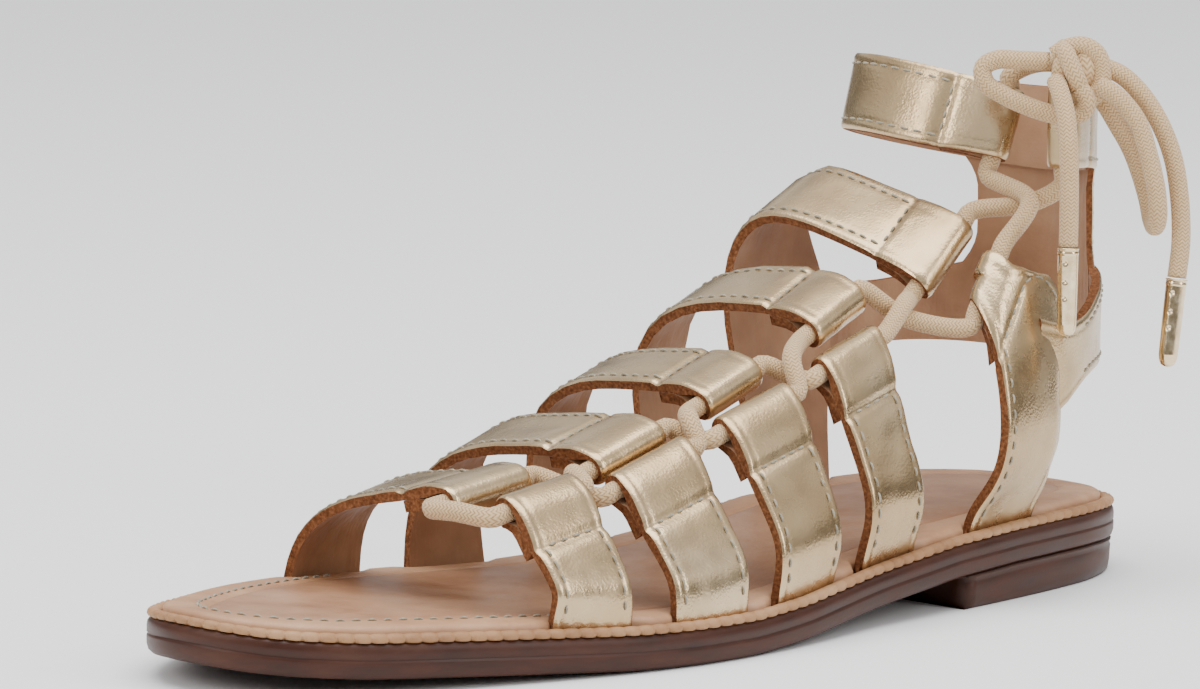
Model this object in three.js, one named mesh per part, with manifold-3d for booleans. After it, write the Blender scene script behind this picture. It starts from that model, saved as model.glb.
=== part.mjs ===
// Left gladiator sandal with a lace-up front and an open heel cuff.
// Frame: millimetres, +Z up. The toe points to -Y, the heel to +Y and +X is the lateral (outer) side.
// The sole stands on z = 0. Every leather piece is drawn as a side profile, extruded across its width
// and bent onto the last (foot) or onto the cuff's wall round the heel and ankle.
import * as THREE from 'three';
import * as BufferGeometryUtils from 'three/addons/utils/BufferGeometryUtils.js';
import Module from 'manifold-3d';

const wasm = await Module();
wasm.setup();

// ---------------------------------------------------------------- driving dimensions
const SOLE_LENGTH = 247.5;
const SOLE_CENTRE_Y = 1.15;
const SOLE_THICK = 6.9;
const SOLE_EDGE_ROUND = 0.9;
const FIT_GAP = 0.3;
const HEEL_SHARE = 0.2855;
const HEEL_TAPER = 1.0;
const WELT_WIDTH = 2.5;
const WELT_THICK = 1.4;
const FOOTBED_THICK = 2.7;
const FOOTBED_ROUND = 1.0;
const FOOTBED_INSET = 2.9;
const STRAP_INSET = 3.0;
const STRAP_WALL = 2.2;
const CORD_DIAMETER = 3.8;
const BORE_RADIUS = 2.25;
const FOLD_RADIUS = 3.3;
const FOLD_FLAP = 11;
const FOLD_STEPS = 6;
const BORE_SIDES = 12;
const PROFILE_PITCH = 5;
const POCKET_OUT = 3.5;
const POCKET_IN = STRAP_WALL + 1.4;
const POCKET_END_GAP = 0.7;
const PANEL_HALF = 18.5;
const AGLET_LENGTH = 17.5;
const AGLET_RADIUS = 2.1;
const JOIN_TOLERANCE = 0.03;

// Sole plan and profile. share: distance from the heel's back as a share of the length;
// lateral and medial: half widths; bottom: height of the outsole's underside above the floor.
const SOLE_ROWS = [
  { share: 0, lateral: 0, medial: 0, bottom: 5.4 },
  { share: 0.01, lateral: 12.3, medial: 13.6, bottom: 5.9 },
  { share: 0.042, lateral: 21.4, medial: 22.2, bottom: 6.6 },
  { share: 0.095, lateral: 28, medial: 27.6, bottom: 7.2 },
  { share: 0.154, lateral: 31.4, medial: 29.8, bottom: 7.3 },
  { share: 0.216, lateral: 33.9, medial: 29.8, bottom: 7.2 },
  { share: 0.299, lateral: 36.5, medial: 27.4, bottom: 6.4 },
  { share: 0.402, lateral: 39.3, medial: 24.9, bottom: 3.9 },
  { share: 0.504, lateral: 43.7, medial: 27.2, bottom: 1 },
  { share: 0.566, lateral: 45.4, medial: 31, bottom: 0 },
  { share: 0.628, lateral: 45.7, medial: 34.7, bottom: 0 },
  { share: 0.691, lateral: 43.9, medial: 37, bottom: 0.3 },
  { share: 0.772, lateral: 39.3, medial: 36, bottom: 1.3 },
  { share: 0.845, lateral: 33.9, medial: 32, bottom: 2.1 },
  { share: 0.909, lateral: 28, medial: 25.9, bottom: 2.7 },
  { share: 0.953, lateral: 22.2, medial: 19.3, bottom: 3.6 },
  { share: 0.974, lateral: 17.6, medial: 14.8, bottom: 4.2 },
  { share: 0.99, lateral: 11.6, medial: 9.2, bottom: 4.9 },
  { share: 1, lateral: 0, medial: 0, bottom: 5.5 },
];

// The last's cross-sections, front to back, one row a section at its own y. Each pair is [x, z]:
// the outer and inner wall, shoulder and lace line of the foot, and the crown between them.
const LAST_ROWS = [
  { y: -66, outWall: [39, 15.5], outShoulder: [32, 24], outLace: [25, 31.5], inLace: [11, 33.2],
    crown: [-3, 30.8], inShoulder: [-19, 27], inWall: [-30.5, 19] },
  { y: -46, outWall: [41, 16], outShoulder: [34.5, 25.5], outLace: [26, 35], inLace: [11, 36],
    crown: [-2, 33.3], inShoulder: [-21, 30.5], inWall: [-33.5, 22] },
  { y: -35.5, outWall: [42, 15.7], outShoulder: [35, 23.8], outLace: [26.5, 33.3], inLace: [18, 36.8],
    crown: [-6, 36.4], inShoulder: [-22, 32.8], inWall: [-32, 24] },
  { y: -16.5, outWall: [43, 16.5], outShoulder: [36, 26], outLace: [26.5, 38.8], inLace: [18, 42.7],
    crown: [-6, 41.4], inShoulder: [-24, 39.2], inWall: [-33, 30] },
  { y: -6.5, outWall: [43.5, 18], outShoulder: [36.5, 29.5], outLace: [27, 41.7], inLace: [18, 46.3],
    crown: [-5, 46.3], inShoulder: [-20, 44.8], inWall: [-30.5, 35] },
  { y: 12, outWall: [41.8, 19], outShoulder: [36.5, 31], outLace: [27, 46.8], inLace: [17, 52.6],
    crown: [-6, 52.3], inShoulder: [-23, 50], inWall: [-33, 40] },
  { y: 22, outWall: [40.5, 22], outShoulder: [34, 37.5], outLace: [26.5, 50.5], inLace: [18, 56.6],
    crown: [-10, 58.3], inShoulder: [-25, 55], inWall: [-33, 44] },
  { y: 40.5, outWall: [38.6, 23], outShoulder: [33, 36.5], outLace: [25.5, 55.5], inLace: [16.5, 64.2],
    crown: [-12, 65.6], inShoulder: [-27, 62], inWall: [-35, 50] },
  { y: 56, outWall: [40.3, 28], outShoulder: [39.2, 42], outLace: [29.5, 50.5], inLace: [15.5, 61],
    crown: [-10, 72], inShoulder: [-28, 74], inWall: [-34.5, 58] },
  { y: 73, outWall: [37.5, 29], outShoulder: [35.5, 50], outLace: [27, 73], inLace: [14.5, 76.5],
    crown: [-8, 80.5], inShoulder: [-28, 83.5], inWall: [-35.5, 60] },
  { y: 92, outWall: [33.5, 30], outShoulder: [31, 52], outLace: [26, 80], inLace: [12, 90],
    crown: [-8, 93], inShoulder: [-28, 88], inWall: [-30.5, 56] },
];

// Strap pairs, toe to instep: front and rear edge of each side's strap along the foot.
const STRAP_PAIRS = [
  { pair: 1, outFront: -62.6, outRear: -45.4, inFront: -66.2, inRear: -46.6 },
  { pair: 2, outFront: -34.9, outRear: -15.8, inFront: -34.6, inRear: -17.4 },
  { pair: 3, outFront: -6.6, outRear: 11.8, inFront: -5.2, inRear: 10.2 },
  { pair: 4, outFront: 21.8, outRear: 38.8, inFront: 25.6, inRear: 40.6 },
];

// Quarters: the front and rear edge of the upright at a share of its height from sole to lace line.
const OUT_QUARTER_ROWS = [
  { up: 0, front: 57.7, rear: 79.2 },
  { up: 0.2, front: 59, rear: 82 },
  { up: 0.45, front: 60.3, rear: 83.5 },
  { up: 0.62, front: 61, rear: 87 },
  { up: 0.74, front: 61.6, rear: 83 },
  { up: 0.86, front: 62.2, rear: 73 },
  { up: 1, front: 62.6, rear: 70 },
];
const IN_QUARTER_ROWS = [
  { up: 0, front: 57, rear: 79 },
  { up: 0.15, front: 56.5, rear: 80.5 },
  { up: 0.3, front: 55.6, rear: 85 },
  { up: 0.42, front: 55, rear: 81 },
  { up: 0.55, front: 55, rear: 73.5 },
  { up: 0.8, front: 57, rear: 72.6 },
  { up: 1, front: 59, rear: 72 },
];

// Cuff walls, medial lace end to lateral lace end, past the centre back (around = 0).
// x, y: the wall's outer face at the middle of the strip; lean: backward slope of the face per mm of
// height; low, high: the strip's lower and upper edge.
const ANKLE_Z = 95;
const ANKLE_ROWS = [
  { x: 13.5, y: 85.5, lean: 0.38, low: 86.6, high: 100.2 },
  { x: 1, y: 78.3, lean: 0.38, low: 88.4, high: 103.2 },
  { x: -13, y: 76.2, lean: 0.36, low: 89.8, high: 104.8 },
  { x: -24, y: 80.6, lean: 0.28, low: 89.2, high: 104.4 },
  { x: -28.6, y: 91, lean: 0.1, low: 86.8, high: 102.6 },
  { x: -27, y: 102, lean: 0, low: 84.2, high: 100.4 },
  { x: -20.6, y: 112.6, lean: 0.02, low: 82, high: 98.4 },
  { x: -11.6, y: 119.4, lean: 0.03, low: 80.4, high: 97.2 },
  { x: -2.2, y: 121.6, lean: 0.04, low: 80, high: 97 },
  { x: 7.4, y: 119.2, lean: 0.03, low: 80.6, high: 97.4 },
  { x: 16.4, y: 112.2, lean: 0, low: 82, high: 98.6 },
  { x: 23.6, y: 102.2, lean: 0, low: 83.6, high: 100 },
  { x: 29.5, y: 91.5, lean: 0, low: 84.6, high: 101 },
];
const ANKLE_CENTRE_ROW = 8;
const HEEL_Z = 50;
const HEEL_ROWS = [
  { x: -35.2, y: 73.5, low: 36, high: 60 },
  { x: -33.6, y: 82.5, low: 40.5, high: 56.5 },
  { x: -30.2, y: 94.5, low: 43.2, high: 56.2 },
  { x: -25.8, y: 104.4, low: 43.8, high: 57.6 },
  { x: -19.4, y: 113.2, low: 43.4, high: 60 },
  { x: -11.4, y: 119.8, low: 42.6, high: 62 },
  { x: -2.2, y: 122.4, low: 42.2, high: 62 },
  { x: 7.6, y: 120.4, low: 42.4, high: 62 },
  { x: 16.6, y: 113.8, low: 43, high: 61.4 },
  { x: 25.4, y: 103.6, low: 43.4, high: 58.6 },
  { x: 31.6, y: 92.4, low: 42, high: 55.2 },
  { x: 34.2, y: 84, low: 38, high: 54.2 },
  { x: 35.6, y: 76, low: 34, high: 56 },
];
const HEEL_CENTRE_ROW = 6;

// The bow: centreline points of the lace's free parts, chosen by hand, and of the knot.
const KNOT_CENTRE = [30.5, 88.5, 105.5];
const TIE_ROUTE = [[15.2, 88.4, 103], [17.8, 89.4, 104.4], [21.2, 89.8, 105.2], [25.4, 89.6, 105.3]];
const LOOP_FRONT_ROUTE = [
  [26.2, 85.4, 106], [22, 81, 106.2], [18.8, 78, 106.2], [17, 76, 104.6], [17.8, 76, 101.6],
  [20.6, 78, 99.4], [24, 80.8, 97.4], [27.8, 83.4, 96], [31.6, 85.8, 95.6], [34, 87.2, 96.6],
  [34.6, 87.2, 99], [33.4, 86.4, 101.2],
];
const LOOP_SIDE_ROUTE = [
  [35.6, 89.6, 101.8], [38.4, 91, 100.2], [41.2, 92.4, 97.4], [43.4, 93.3, 94], [45.3, 93.9, 88.6],
  [47, 94.6, 81.6], [46.8, 95.6, 76.2], [44.4, 97.6, 73.8], [42, 99.4, 75], [40.5, 99.8, 79],
  [37.5, 98.4, 88], [35.2, 95.8, 94], [33.4, 93.8, 98.2], [31.6, 92.4, 101],
];
const END_FRONT_ROUTE = [
  [29.8, 83.4, 102.6], [32.2, 82, 100.4], [35, 80.6, 96.4], [36.8, 79.5, 91], [37.7, 79, 84],
  [38.2, 78.6, 77], [38.3, 78.5, 70.6],
];
const END_SIDE_ROUTE = [
  [33.8, 92.8, 105.2], [36.8, 95.2, 103.6], [40.2, 97.8, 99.6], [43.4, 99.7, 94], [45.8, 101, 87.4],
  [47.4, 101.4, 79.6], [48.4, 101, 71], [48.6, 99.8, 63.8],
];

// ---------------------------------------------------------------- small helpers
const lerp = (a, b, s) => a + (b - a) * s;
const sub = (a, b) => a.clone().sub(b);

// Smooth value of one column of a table at a place along its key column.
function columnAt(rows, key, column, at) {
  const last = rows.length - 1;
  const found = rows.findIndex((row, i) => i < last && at <= rows[i + 1][key]);
  const i = found < 0 ? last - 1 : found;
  const slope = (j) => {
    const a = rows[Math.max(j - 1, 0)];
    const b = rows[Math.min(j + 1, last)];
    return (b[column] - a[column]) / (b[key] - a[key]);
  };
  const span = rows[i + 1][key] - rows[i][key];
  const s = (at - rows[i][key]) / span;
  const h = [2 * s ** 3 - 3 * s ** 2 + 1, s ** 3 - 2 * s ** 2 + s, 3 * s ** 2 - 2 * s ** 3, s ** 3 - s ** 2];
  return h[0] * rows[i][column] + h[1] * span * slope(i)
    + h[2] * rows[i + 1][column] + h[3] * span * slope(i + 1);
}

// Straight-line value of one column between its rows, held at the ends.
function columnLine(rows, key, column, at) {
  const last = rows.length - 1;
  const found = rows.findIndex((row, i) => i < last && at <= rows[i + 1][key]);
  const i = found < 0 ? last - 1 : found;
  const s = (at - rows[i][key]) / (rows[i + 1][key] - rows[i][key]);
  return lerp(rows[i][column], rows[i + 1][column], THREE.MathUtils.clamp(s, 0, 1));
}

function closedGeometry(vertices, faces) {
  const geometry = new THREE.BufferGeometry();
  geometry.setAttribute('position', new THREE.Float32BufferAttribute(vertices.flatMap((v) => [v.x, v.y, v.z]), 3));
  geometry.setIndex(faces.flat());
  return facingOut(BufferGeometryUtils.mergeVertices(geometry, 1e-4));
}

// Turns a closed mesh's triangles round when they face in.
function facingOut(geometry) {
  const p = geometry.attributes.position;
  const index = geometry.index.array;
  const corner = (k) => new THREE.Vector3().fromBufferAttribute(p, index[k]);
  let volume = 0;
  for (let k = 0; k < index.length; k += 3) {
    volume += corner(k).dot(corner(k + 1).cross(corner(k + 2)));
  }
  if (volume < 0) {
    for (let k = 0; k < index.length; k += 3) {
      [index[k + 1], index[k + 2]] = [index[k + 2], index[k + 1]];
    }
  }
  return geometry;
}

// Solid through rings of equal point count: capped at both ends, or joined end to start.
function loft(rings, joined = false) {
  const count = rings[0].length;
  const faces = [];
  const spans = joined ? rings.length : rings.length - 1;
  for (let i = 0; i < spans; i += 1) {
    for (let j = 0; j < count; j += 1) {
      const a = i * count + j;
      const b = i * count + (j + 1) % count;
      const shift = ((i + 1) % rings.length - i) * count;
      faces.push([a, b, b + shift], [a, b + shift, a + shift]);
    }
  }
  if (!joined) {
    const end = (rings.length - 1) * count;
    for (let j = 1; j < count - 1; j += 1) {
      faces.push([0, j + 1, j], [end, end + j, end + j + 1]);
    }
  }
  return closedGeometry(rings.flat(), faces);
}

function toSolid(geometry) {
  return new wasm.Manifold(new wasm.Mesh({
    numProp: 3,
    vertProperties: new Float32Array(geometry.attributes.position.array),
    triVerts: new Uint32Array(geometry.index.array),
  }));
}

function toGeometry(solid) {
  const mesh = solid.getMesh();
  const geometry = new THREE.BufferGeometry();
  geometry.setAttribute('position', new THREE.BufferAttribute(new Float32Array(mesh.vertProperties), 3));
  geometry.setIndex(new THREE.BufferAttribute(new Uint32Array(mesh.triVerts), 1));
  return geometry;
}

const joinAll = (geometries) => toGeometry(geometries.map(toSolid).reduce((a, b) => a.add(b)).simplify(JOIN_TOLERANCE));

// ---------------------------------------------------------------- sole
const shareAtY = (y) => (SOLE_LENGTH / 2 + SOLE_CENTRE_Y - y) / SOLE_LENGTH;
const SOLE_BY_ANGLE = SOLE_ROWS.map((row) => ({ ...row, angle: Math.acos(1 - 2 * row.share) }));
const soleBottom = (share) => Math.max(0, columnLine(SOLE_ROWS, 'share', 'bottom', share));
const soleTop = (y) => soleBottom(shareAtY(y)) + SOLE_THICK;

// The outline, anticlockwise seen from above: angle 0 at the heel's back, the lateral side to pi
// (the toe), the medial side back to 2 pi.
function outlinePoint(angle) {
  const folded = angle <= Math.PI ? angle : 2 * Math.PI - angle;
  const side = angle <= Math.PI ? 'lateral' : 'medial';
  const x = columnAt(SOLE_BY_ANGLE, 'angle', side, folded) * (side === 'lateral' ? 1 : -1);
  return new THREE.Vector3(x, SOLE_CENTRE_Y + (SOLE_LENGTH / 2) * Math.cos(folded), 0);
}

function insetPoint(angle, inset) {
  const step = 0.01;
  const wrap = (a) => (a + 2 * Math.PI) % (2 * Math.PI);
  const along = sub(outlinePoint(wrap(angle + step)), outlinePoint(wrap(angle - step))).normalize();
  return outlinePoint(wrap(angle)).add(new THREE.Vector3(along.y, -along.x, 0).multiplyScalar(inset));
}

// Slab with the sole's outline. levels: rows of inset and height, bottom to top on one side.
function soleSlab(fromAngle, toAngle, stations, levels) {
  const rings = [];
  for (let i = 0; i <= stations; i += 1) {
    const angle = lerp(fromAngle, toAngle, i / stations);
    const onSide = (sideAngle) => levels.map(({ inset, height }) => {
      const p = insetPoint(sideAngle, inset);
      p.z = height(p.y);
      return p;
    });
    rings.push([...onSide(angle), ...onSide(2 * Math.PI - angle).reverse()]);
  }
  return loft(rings);
}

const END_ANGLE = 0.05;
const bottomAt = (y) => soleBottom(shareAtY(y));

function outsole() {
  return soleSlab(END_ANGLE, Math.PI - END_ANGLE, 44, [
    { inset: 1.6, height: bottomAt },
    { inset: 0.4, height: (y) => bottomAt(y) + SOLE_EDGE_ROUND },
    { inset: 0, height: (y) => bottomAt(y) + SOLE_THICK * 0.6 },
    { inset: 0.5, height: (y) => bottomAt(y) + SOLE_THICK - 0.3 },
    { inset: 0.9, height: (y) => bottomAt(y) + SOLE_THICK },
  ]);
}

function heelBlock() {
  const breast = Math.acos(1 - 2 * HEEL_SHARE);
  return soleSlab(END_ANGLE, breast, 14, [
    { inset: HEEL_TAPER + 0.6, height: () => 0 },
    { inset: HEEL_TAPER, height: () => 0.6 },
    { inset: 0.5, height: (y) => bottomAt(y) - FIT_GAP },
  ]);
}

function welt() {
  const rings = [];
  const stations = 84;
  for (let i = 0; i < stations; i += 1) {
    const angle = (2 * Math.PI * i) / stations;
    const at = (inset, lift) => {
      const p = insetPoint(angle, inset);
      p.z = soleTop(p.y) + lift;
      return p;
    };
    rings.push([at(0.5, FIT_GAP), at(0.2, FIT_GAP + 0.6), at(0.6, WELT_THICK), at(WELT_WIDTH, WELT_THICK),
      at(WELT_WIDTH, FIT_GAP)]);
  }
  return loft(rings, true);
}

function footbed(pockets) {
  const slab = soleSlab(END_ANGLE, Math.PI - END_ANGLE, 40, [
    { inset: FOOTBED_INSET, height: (y) => soleTop(y) + FIT_GAP },
    { inset: FOOTBED_INSET, height: (y) => soleTop(y) + FOOTBED_THICK - FOOTBED_ROUND },
    { inset: FOOTBED_INSET + FOOTBED_ROUND, height: (y) => soleTop(y) + FOOTBED_THICK },
  ]);
  return toGeometry(pockets.reduce((solid, room) => solid.subtract(room), toSolid(slab)));
}

// ---------------------------------------------------------------- last
const LAST_POINTS = ['outWall', 'outShoulder', 'outLace', 'inLace', 'crown', 'inShoulder', 'inWall'];
const LACE_AT = { out: 4 / 10, in: 5 / 10 };
const RISE = 2.6;

// Section of the last at y, from the lateral edge of the sole over the foot to the medial edge.
function lastSection(y) {
  const last = LAST_ROWS.length - 1;
  const found = LAST_ROWS.findIndex((row, i) => i < last && y <= LAST_ROWS[i + 1].y);
  const i = found < 0 ? last - 1 : found;
  const s = (y - LAST_ROWS[i].y) / (LAST_ROWS[i + 1].y - LAST_ROWS[i].y);
  const across = LAST_POINTS.map((name) => new THREE.Vector3(
    lerp(LAST_ROWS[i][name][0], LAST_ROWS[i + 1][name][0], s),
    y,
    lerp(LAST_ROWS[i][name][1], LAST_ROWS[i + 1][name][1], s),
  ));
  const angle = Math.acos(1 - 2 * shareAtY(y));
  const out = columnAt(SOLE_BY_ANGLE, 'angle', 'lateral', angle) - STRAP_INSET;
  const inn = STRAP_INSET - columnAt(SOLE_BY_ANGLE, 'angle', 'medial', angle);
  const floor = soleTop(y) + FIT_GAP;
  return new THREE.CatmullRomCurve3([
    new THREE.Vector3(out, y, floor),
    new THREE.Vector3(out, y, floor + RISE),
    ...across,
    new THREE.Vector3(inn, y, floor + RISE),
    new THREE.Vector3(inn, y, floor),
  ], false, 'centripetal');
}

// One side's path on the last at y: pointAt(mm) runs up from the sole to the lace line and past it.
function sidePath(side, y) {
  const curve = lastSection(y);
  const samples = 40;
  const points = [];
  const from = side === 'out' ? 0 : 1;
  for (let k = 0; k <= samples; k += 1) {
    points.push(curve.getPoint(lerp(from, LACE_AT[side], k / samples)));
  }
  const lengths = [0];
  for (let k = 1; k <= samples; k += 1) {
    lengths.push(lengths[k - 1] + points[k].distanceTo(points[k - 1]));
  }
  const total = lengths[samples];
  const pointAt = (mm) => {
    const found = lengths.findIndex((length) => length >= mm);
    const k = found < 0 ? samples : Math.max(found, 1);
    return points[k - 1].clone().lerp(points[k], (mm - lengths[k - 1]) / (lengths[k] - lengths[k - 1]));
  };
  return { total, pointAt };
}

// Place on a strap's outer face: up runs from 0 at the sole to the profile's own length at the lace
// line, across from the front edge to the rear edge.
function strapFace(side, edges, length) {
  const near = FOLD_FLAP + 2;
  return (up, across) => {
    const height = THREE.MathUtils.clamp(up / length, 0, 1);
    const y = lerp(edges(height).front, edges(height).rear, across);
    const path = sidePath(side, y);
    const back = length - up;
    const mm = back <= near
      ? path.total - back
      : ((path.total - near) * up) / (length - near);
    return path.pointAt(mm);
  };
}

// Point at a depth under a face, along the face's inward normal.
function under(face, along, across, deep, inward) {
  const step = 0.05;
  const p = face(along, across);
  const a = sub(face(along + step, across), p);
  const side = across < 0.5 ? step : -step;
  const b = sub(face(along, across + side), p).multiplyScalar(Math.sign(side));
  const normal = a.cross(b).normalize().multiplyScalar(inward * deep);
  return p.add(normal);
}

// ---------------------------------------------------------------- leather
// Solid of a strap: a plain wall, with an end folded back under itself round the lace. start and end
// are places along the strap, folds names the folded ends, and map(along, deep, across) bends it.
function leather(start, end, folds, wall, steps, map) {
  const foldRoom = FOLD_FLAP + 3;
  const wallFrom = folds.includes('start') ? start + foldRoom : start;
  const wallTo = folds.includes('end') ? end - foldRoom : end;
  const count = Math.max(2, Math.round((wallTo - wallFrom) / PROFILE_PITCH));
  const profile = [];
  const point = (along, deep) => profile.push(new THREE.Vector2(along, deep)) - 1;
  const caps = [];
  const top = [];
  const inner = [];
  for (let k = 0; k <= count; k += 1) {
    top.push(point(lerp(wallFrom, wallTo, k / count), 0));
    inner.push(point(lerp(wallFrom, wallTo, k / count), wall));
  }
  for (let k = 0; k < count; k += 1) {
    caps.push([top[k], top[k + 1], inner[k + 1]], [top[k], inner[k + 1], inner[k]]);
  }
  // One folded end: its outline from the outer face round to the inner face, and the bore in it.
  const fold = (at, sign, outer, back) => {
    const rim = [];
    for (const share of [0.35, 0.7, 1]) {
      rim.push(point(lerp(at - sign * foldRoom, at, share), 0));
    }
    for (let k = 1; k < FOLD_STEPS; k += 1) {
      const angle = (Math.PI * k) / FOLD_STEPS;
      rim.push(point(at + sign * FOLD_RADIUS * Math.sin(angle), FOLD_RADIUS * (1 - Math.cos(angle))));
    }
    rim.push(point(at, 2 * FOLD_RADIUS));
    rim.push(point(at - sign * 3.2, FOLD_RADIUS * 1.7));
    rim.push(point(at - sign * 6.5, wall + 1.7));
    rim.push(point(at - sign * FOLD_FLAP, wall + 1.2));
    rim.push(point(at - sign * (FOLD_FLAP + 0.3), wall));
    const bore = [];
    for (let k = 0; k < BORE_SIDES; k += 1) {
      const angle = (-sign * 2 * Math.PI * k) / BORE_SIDES;
      bore.push(point(at + BORE_RADIUS * Math.cos(angle), FOLD_RADIUS + BORE_RADIUS * Math.sin(angle)));
    }
    const loop = [outer, ...rim, back];
    const hollowed = (i) => {
      const { x, y } = profile[i];
      const s = (x - profile[outer].x) / (at - profile[outer].x);
      return new THREE.Vector2(x, y === 0 && s > 0 && s < 1 ? s * (1 - s) : y);
    };
    const all = [...loop, ...bore];
    for (const triangle of THREE.ShapeUtils.triangulateShape(loop.map(hollowed), [bore.map(hollowed)])) {
      const [p, q, r] = triangle.map((i) => hollowed(all[i]));
      const turn = (q.x - p.x) * (r.y - p.y) - (q.y - p.y) * (r.x - p.x);
      const face = triangle.map((i) => all[i]);
      caps.push(turn > 0 ? face : face.reverse());
    }
    return { rim, bore };
  };
  const outline = [...top];
  const bores = [];
  if (folds.includes('end')) {
    const { rim, bore } = fold(end, 1, top[count], inner[count]);
    outline.push(...rim);
    bores.push(bore);
  }
  outline.push(...inner.toReversed());
  if (folds.includes('start')) {
    const { rim, bore } = fold(start, -1, top[0], inner[0]);
    outline.push(...rim.toReversed());
    bores.push(bore.toReversed());
  }
  const vertices = [];
  for (let step = 0; step <= steps; step += 1) {
    vertices.push(...profile.map(({ x, y }) => map(x, y, step / steps)));
  }
  const faces = [];
  for (let step = 0; step < steps; step += 1) {
    const shift = profile.length;
    for (const loop of [outline, ...bores]) {
      loop.forEach((from, k) => {
        const a = from + step * shift;
        const b = loop[(k + 1) % loop.length] + step * shift;
        faces.push([a, b, b + shift], [a, b + shift, a + shift]);
      });
    }
  }
  const far = steps * profile.length;
  for (const [a, b, c] of caps) {
    faces.push([a, c, b], [a + far, b + far, c + far]);
  }
  return closedGeometry(vertices, faces);
}

const straightEdges = (front, rear) => () => ({ front, rear });
const tableEdges = (rows) => (up) => ({
  front: columnAt(rows, 'up', 'front', up),
  rear: columnAt(rows, 'up', 'rear', up),
});
const INWARD = { out: 1, in: -1 };

function upright(side, edges, steps, wall = STRAP_WALL) {
  const length = sidePath(side, lerp(edges(1).front, edges(1).rear, 0.5)).total;
  const face = strapFace(side, edges, length);
  return leather(0, length, ['end'], wall, steps, (up, deep, across) => (
    under(face, up, across, deep, INWARD[side])
  ));
}

// Room for one strap's foot in the footbed, a fitting gap wider all round.
function pocket(side, edges) {
  const length = sidePath(side, lerp(edges(1).front, edges(1).rear, 0.5)).total;
  const face = strapFace(side, edges, length);
  const wider = POCKET_END_GAP / (edges(0).rear - edges(0).front);
  const corners = [];
  for (const across of [-wider, 0.33, 0.67, 1 + wider]) {
    for (const up of [-2, 2.5, 8]) {
      for (const deep of [-POCKET_OUT, POCKET_IN]) {
        corners.push(under(face, up, across, deep, INWARD[side]));
      }
    }
  }
  return wasm.Manifold.hull(corners.map((v) => [v.x, v.y, v.z]));
}

// ---------------------------------------------------------------- cuff
// A wall's plan, measured round from the centre back: negative to the medial end.
function planWall(rows, centreRow) {
  const curve = new THREE.CatmullRomCurve3(rows.map((r) => new THREE.Vector3(r.x, r.y, 0)), false, 'centripetal');
  const divisions = 240;
  const lengths = curve.getLengths(divisions);
  const lengthAt = (t) => lengths[Math.round(t * divisions)];
  const centre = lengthAt(centreRow / (rows.length - 1));
  const places = rows.map((row, i) => ({ ...row, around: lengthAt(i / (rows.length - 1)) - centre }));
  const points = curve.getPoints(divisions);
  const from = -centre;
  const to = lengths[divisions] - centre;
  const pointAt = (around) => {
    const mm = around + centre;
    const found = lengths.findIndex((length) => length >= mm);
    const k = found < 0 ? divisions : Math.max(found, 1);
    return points[k - 1].clone().lerp(points[k], (mm - lengths[k - 1]) / (lengths[k] - lengths[k - 1]));
  };
  const column = (name) => (around) => columnAt(places, 'around', name, around);
  return { from, to, pointAt, column };
}

const ankle = planWall(ANKLE_ROWS, ANKLE_CENTRE_ROW);
const heel = planWall(HEEL_ROWS, HEEL_CENTRE_ROW);

function anklePoint(around, z) {
  const p = ankle.pointAt(around);
  return new THREE.Vector3(p.x, p.y + ankle.column('lean')(around) * (z - ANKLE_Z), z);
}

function heelPoint(around, z) {
  const p = heel.pointAt(around);
  return new THREE.Vector3(p.x, p.y, z);
}

// Heel panel's face: blends from the heel wall's plan to the ankle wall's plan with height.
function panelPoint(around, z) {
  const s = THREE.MathUtils.clamp((z - HEEL_Z) / (ANKLE_Z - HEEL_Z), 0, 1);
  return heelPoint(around, z).lerp(anklePoint(around, z), s);
}

// A horizontal strip of leather on a wall, from one place round it to another.
function strip(from, to, folds, steps, wall, sunk, facePoint, low, high) {
  const face = (around, across) => facePoint(around, lerp(low(around), high(around), across));
  return leather(from, to, folds, wall, steps, (around, deep, across) => {
    const held = THREE.MathUtils.clamp(around, from, to);
    const p = under(face, held, across, deep + sunk, 1);
    const past = around - held;
    if (past === 0) return p;
    const along = sub(face(held, across), face(held - Math.sign(past) * 0.5, across)).normalize();
    return p.add(along.multiplyScalar(Math.abs(past)));
  });
}

function heelCuff() {
  const thin = 0.12;
  const blendTop = (around) => ankle.column('high')(around);
  const ankleLow = (around) => ankle.column('low')(around);
  const corner = 9;
  const panelReach = (z) => {
    const low = Math.max(0, 1 - Math.abs(z - 58) / corner);
    const up = Math.max(0, 1 - Math.abs(z - 84) / corner);
    return 1 + 0.28 * (low ** 2 + up ** 2);
  };
  const panelFace = (around, z) => panelPoint(around * panelReach(z), z);
  const panel = leather(-PANEL_HALF, PANEL_HALF, [], STRAP_WALL - 2 * thin, 8, (around, deep, across) => (
    under(panelFace, around, lerp(50, 90, across), deep + thin, 1)
  ));
  const ankleBand = strip(ankle.from, ankle.to, ['start', 'end'], 3, STRAP_WALL, 0, anklePoint, ankleLow, blendTop);
  const heelBand = strip(heel.from, heel.to, [], 3, STRAP_WALL - 2 * thin, thin, heelPoint,
    heel.column('low'), heel.column('high'));
  const outQuarter = upright('out', tableEdges(OUT_QUARTER_ROWS), 4);
  const inQuarter = upright('in', tableEdges(IN_QUARTER_ROWS), 4);
  return joinAll([outQuarter, heelBand, panel, ankleBand, inQuarter]);
}

// ---------------------------------------------------------------- lace
const CORD_SIDES = 8;

// Round section whose flats stand clear of the cord's true radius.
function cordSection(radius = CORD_DIAMETER / 2) {
  const points = [];
  for (let k = 0; k < CORD_SIDES; k += 1) {
    const angle = (2 * Math.PI * (k + 0.5)) / CORD_SIDES;
    points.push(new THREE.Vector2(radius * Math.cos(angle), radius * Math.sin(angle)));
  }
  return new THREE.Shape(points);
}

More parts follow.
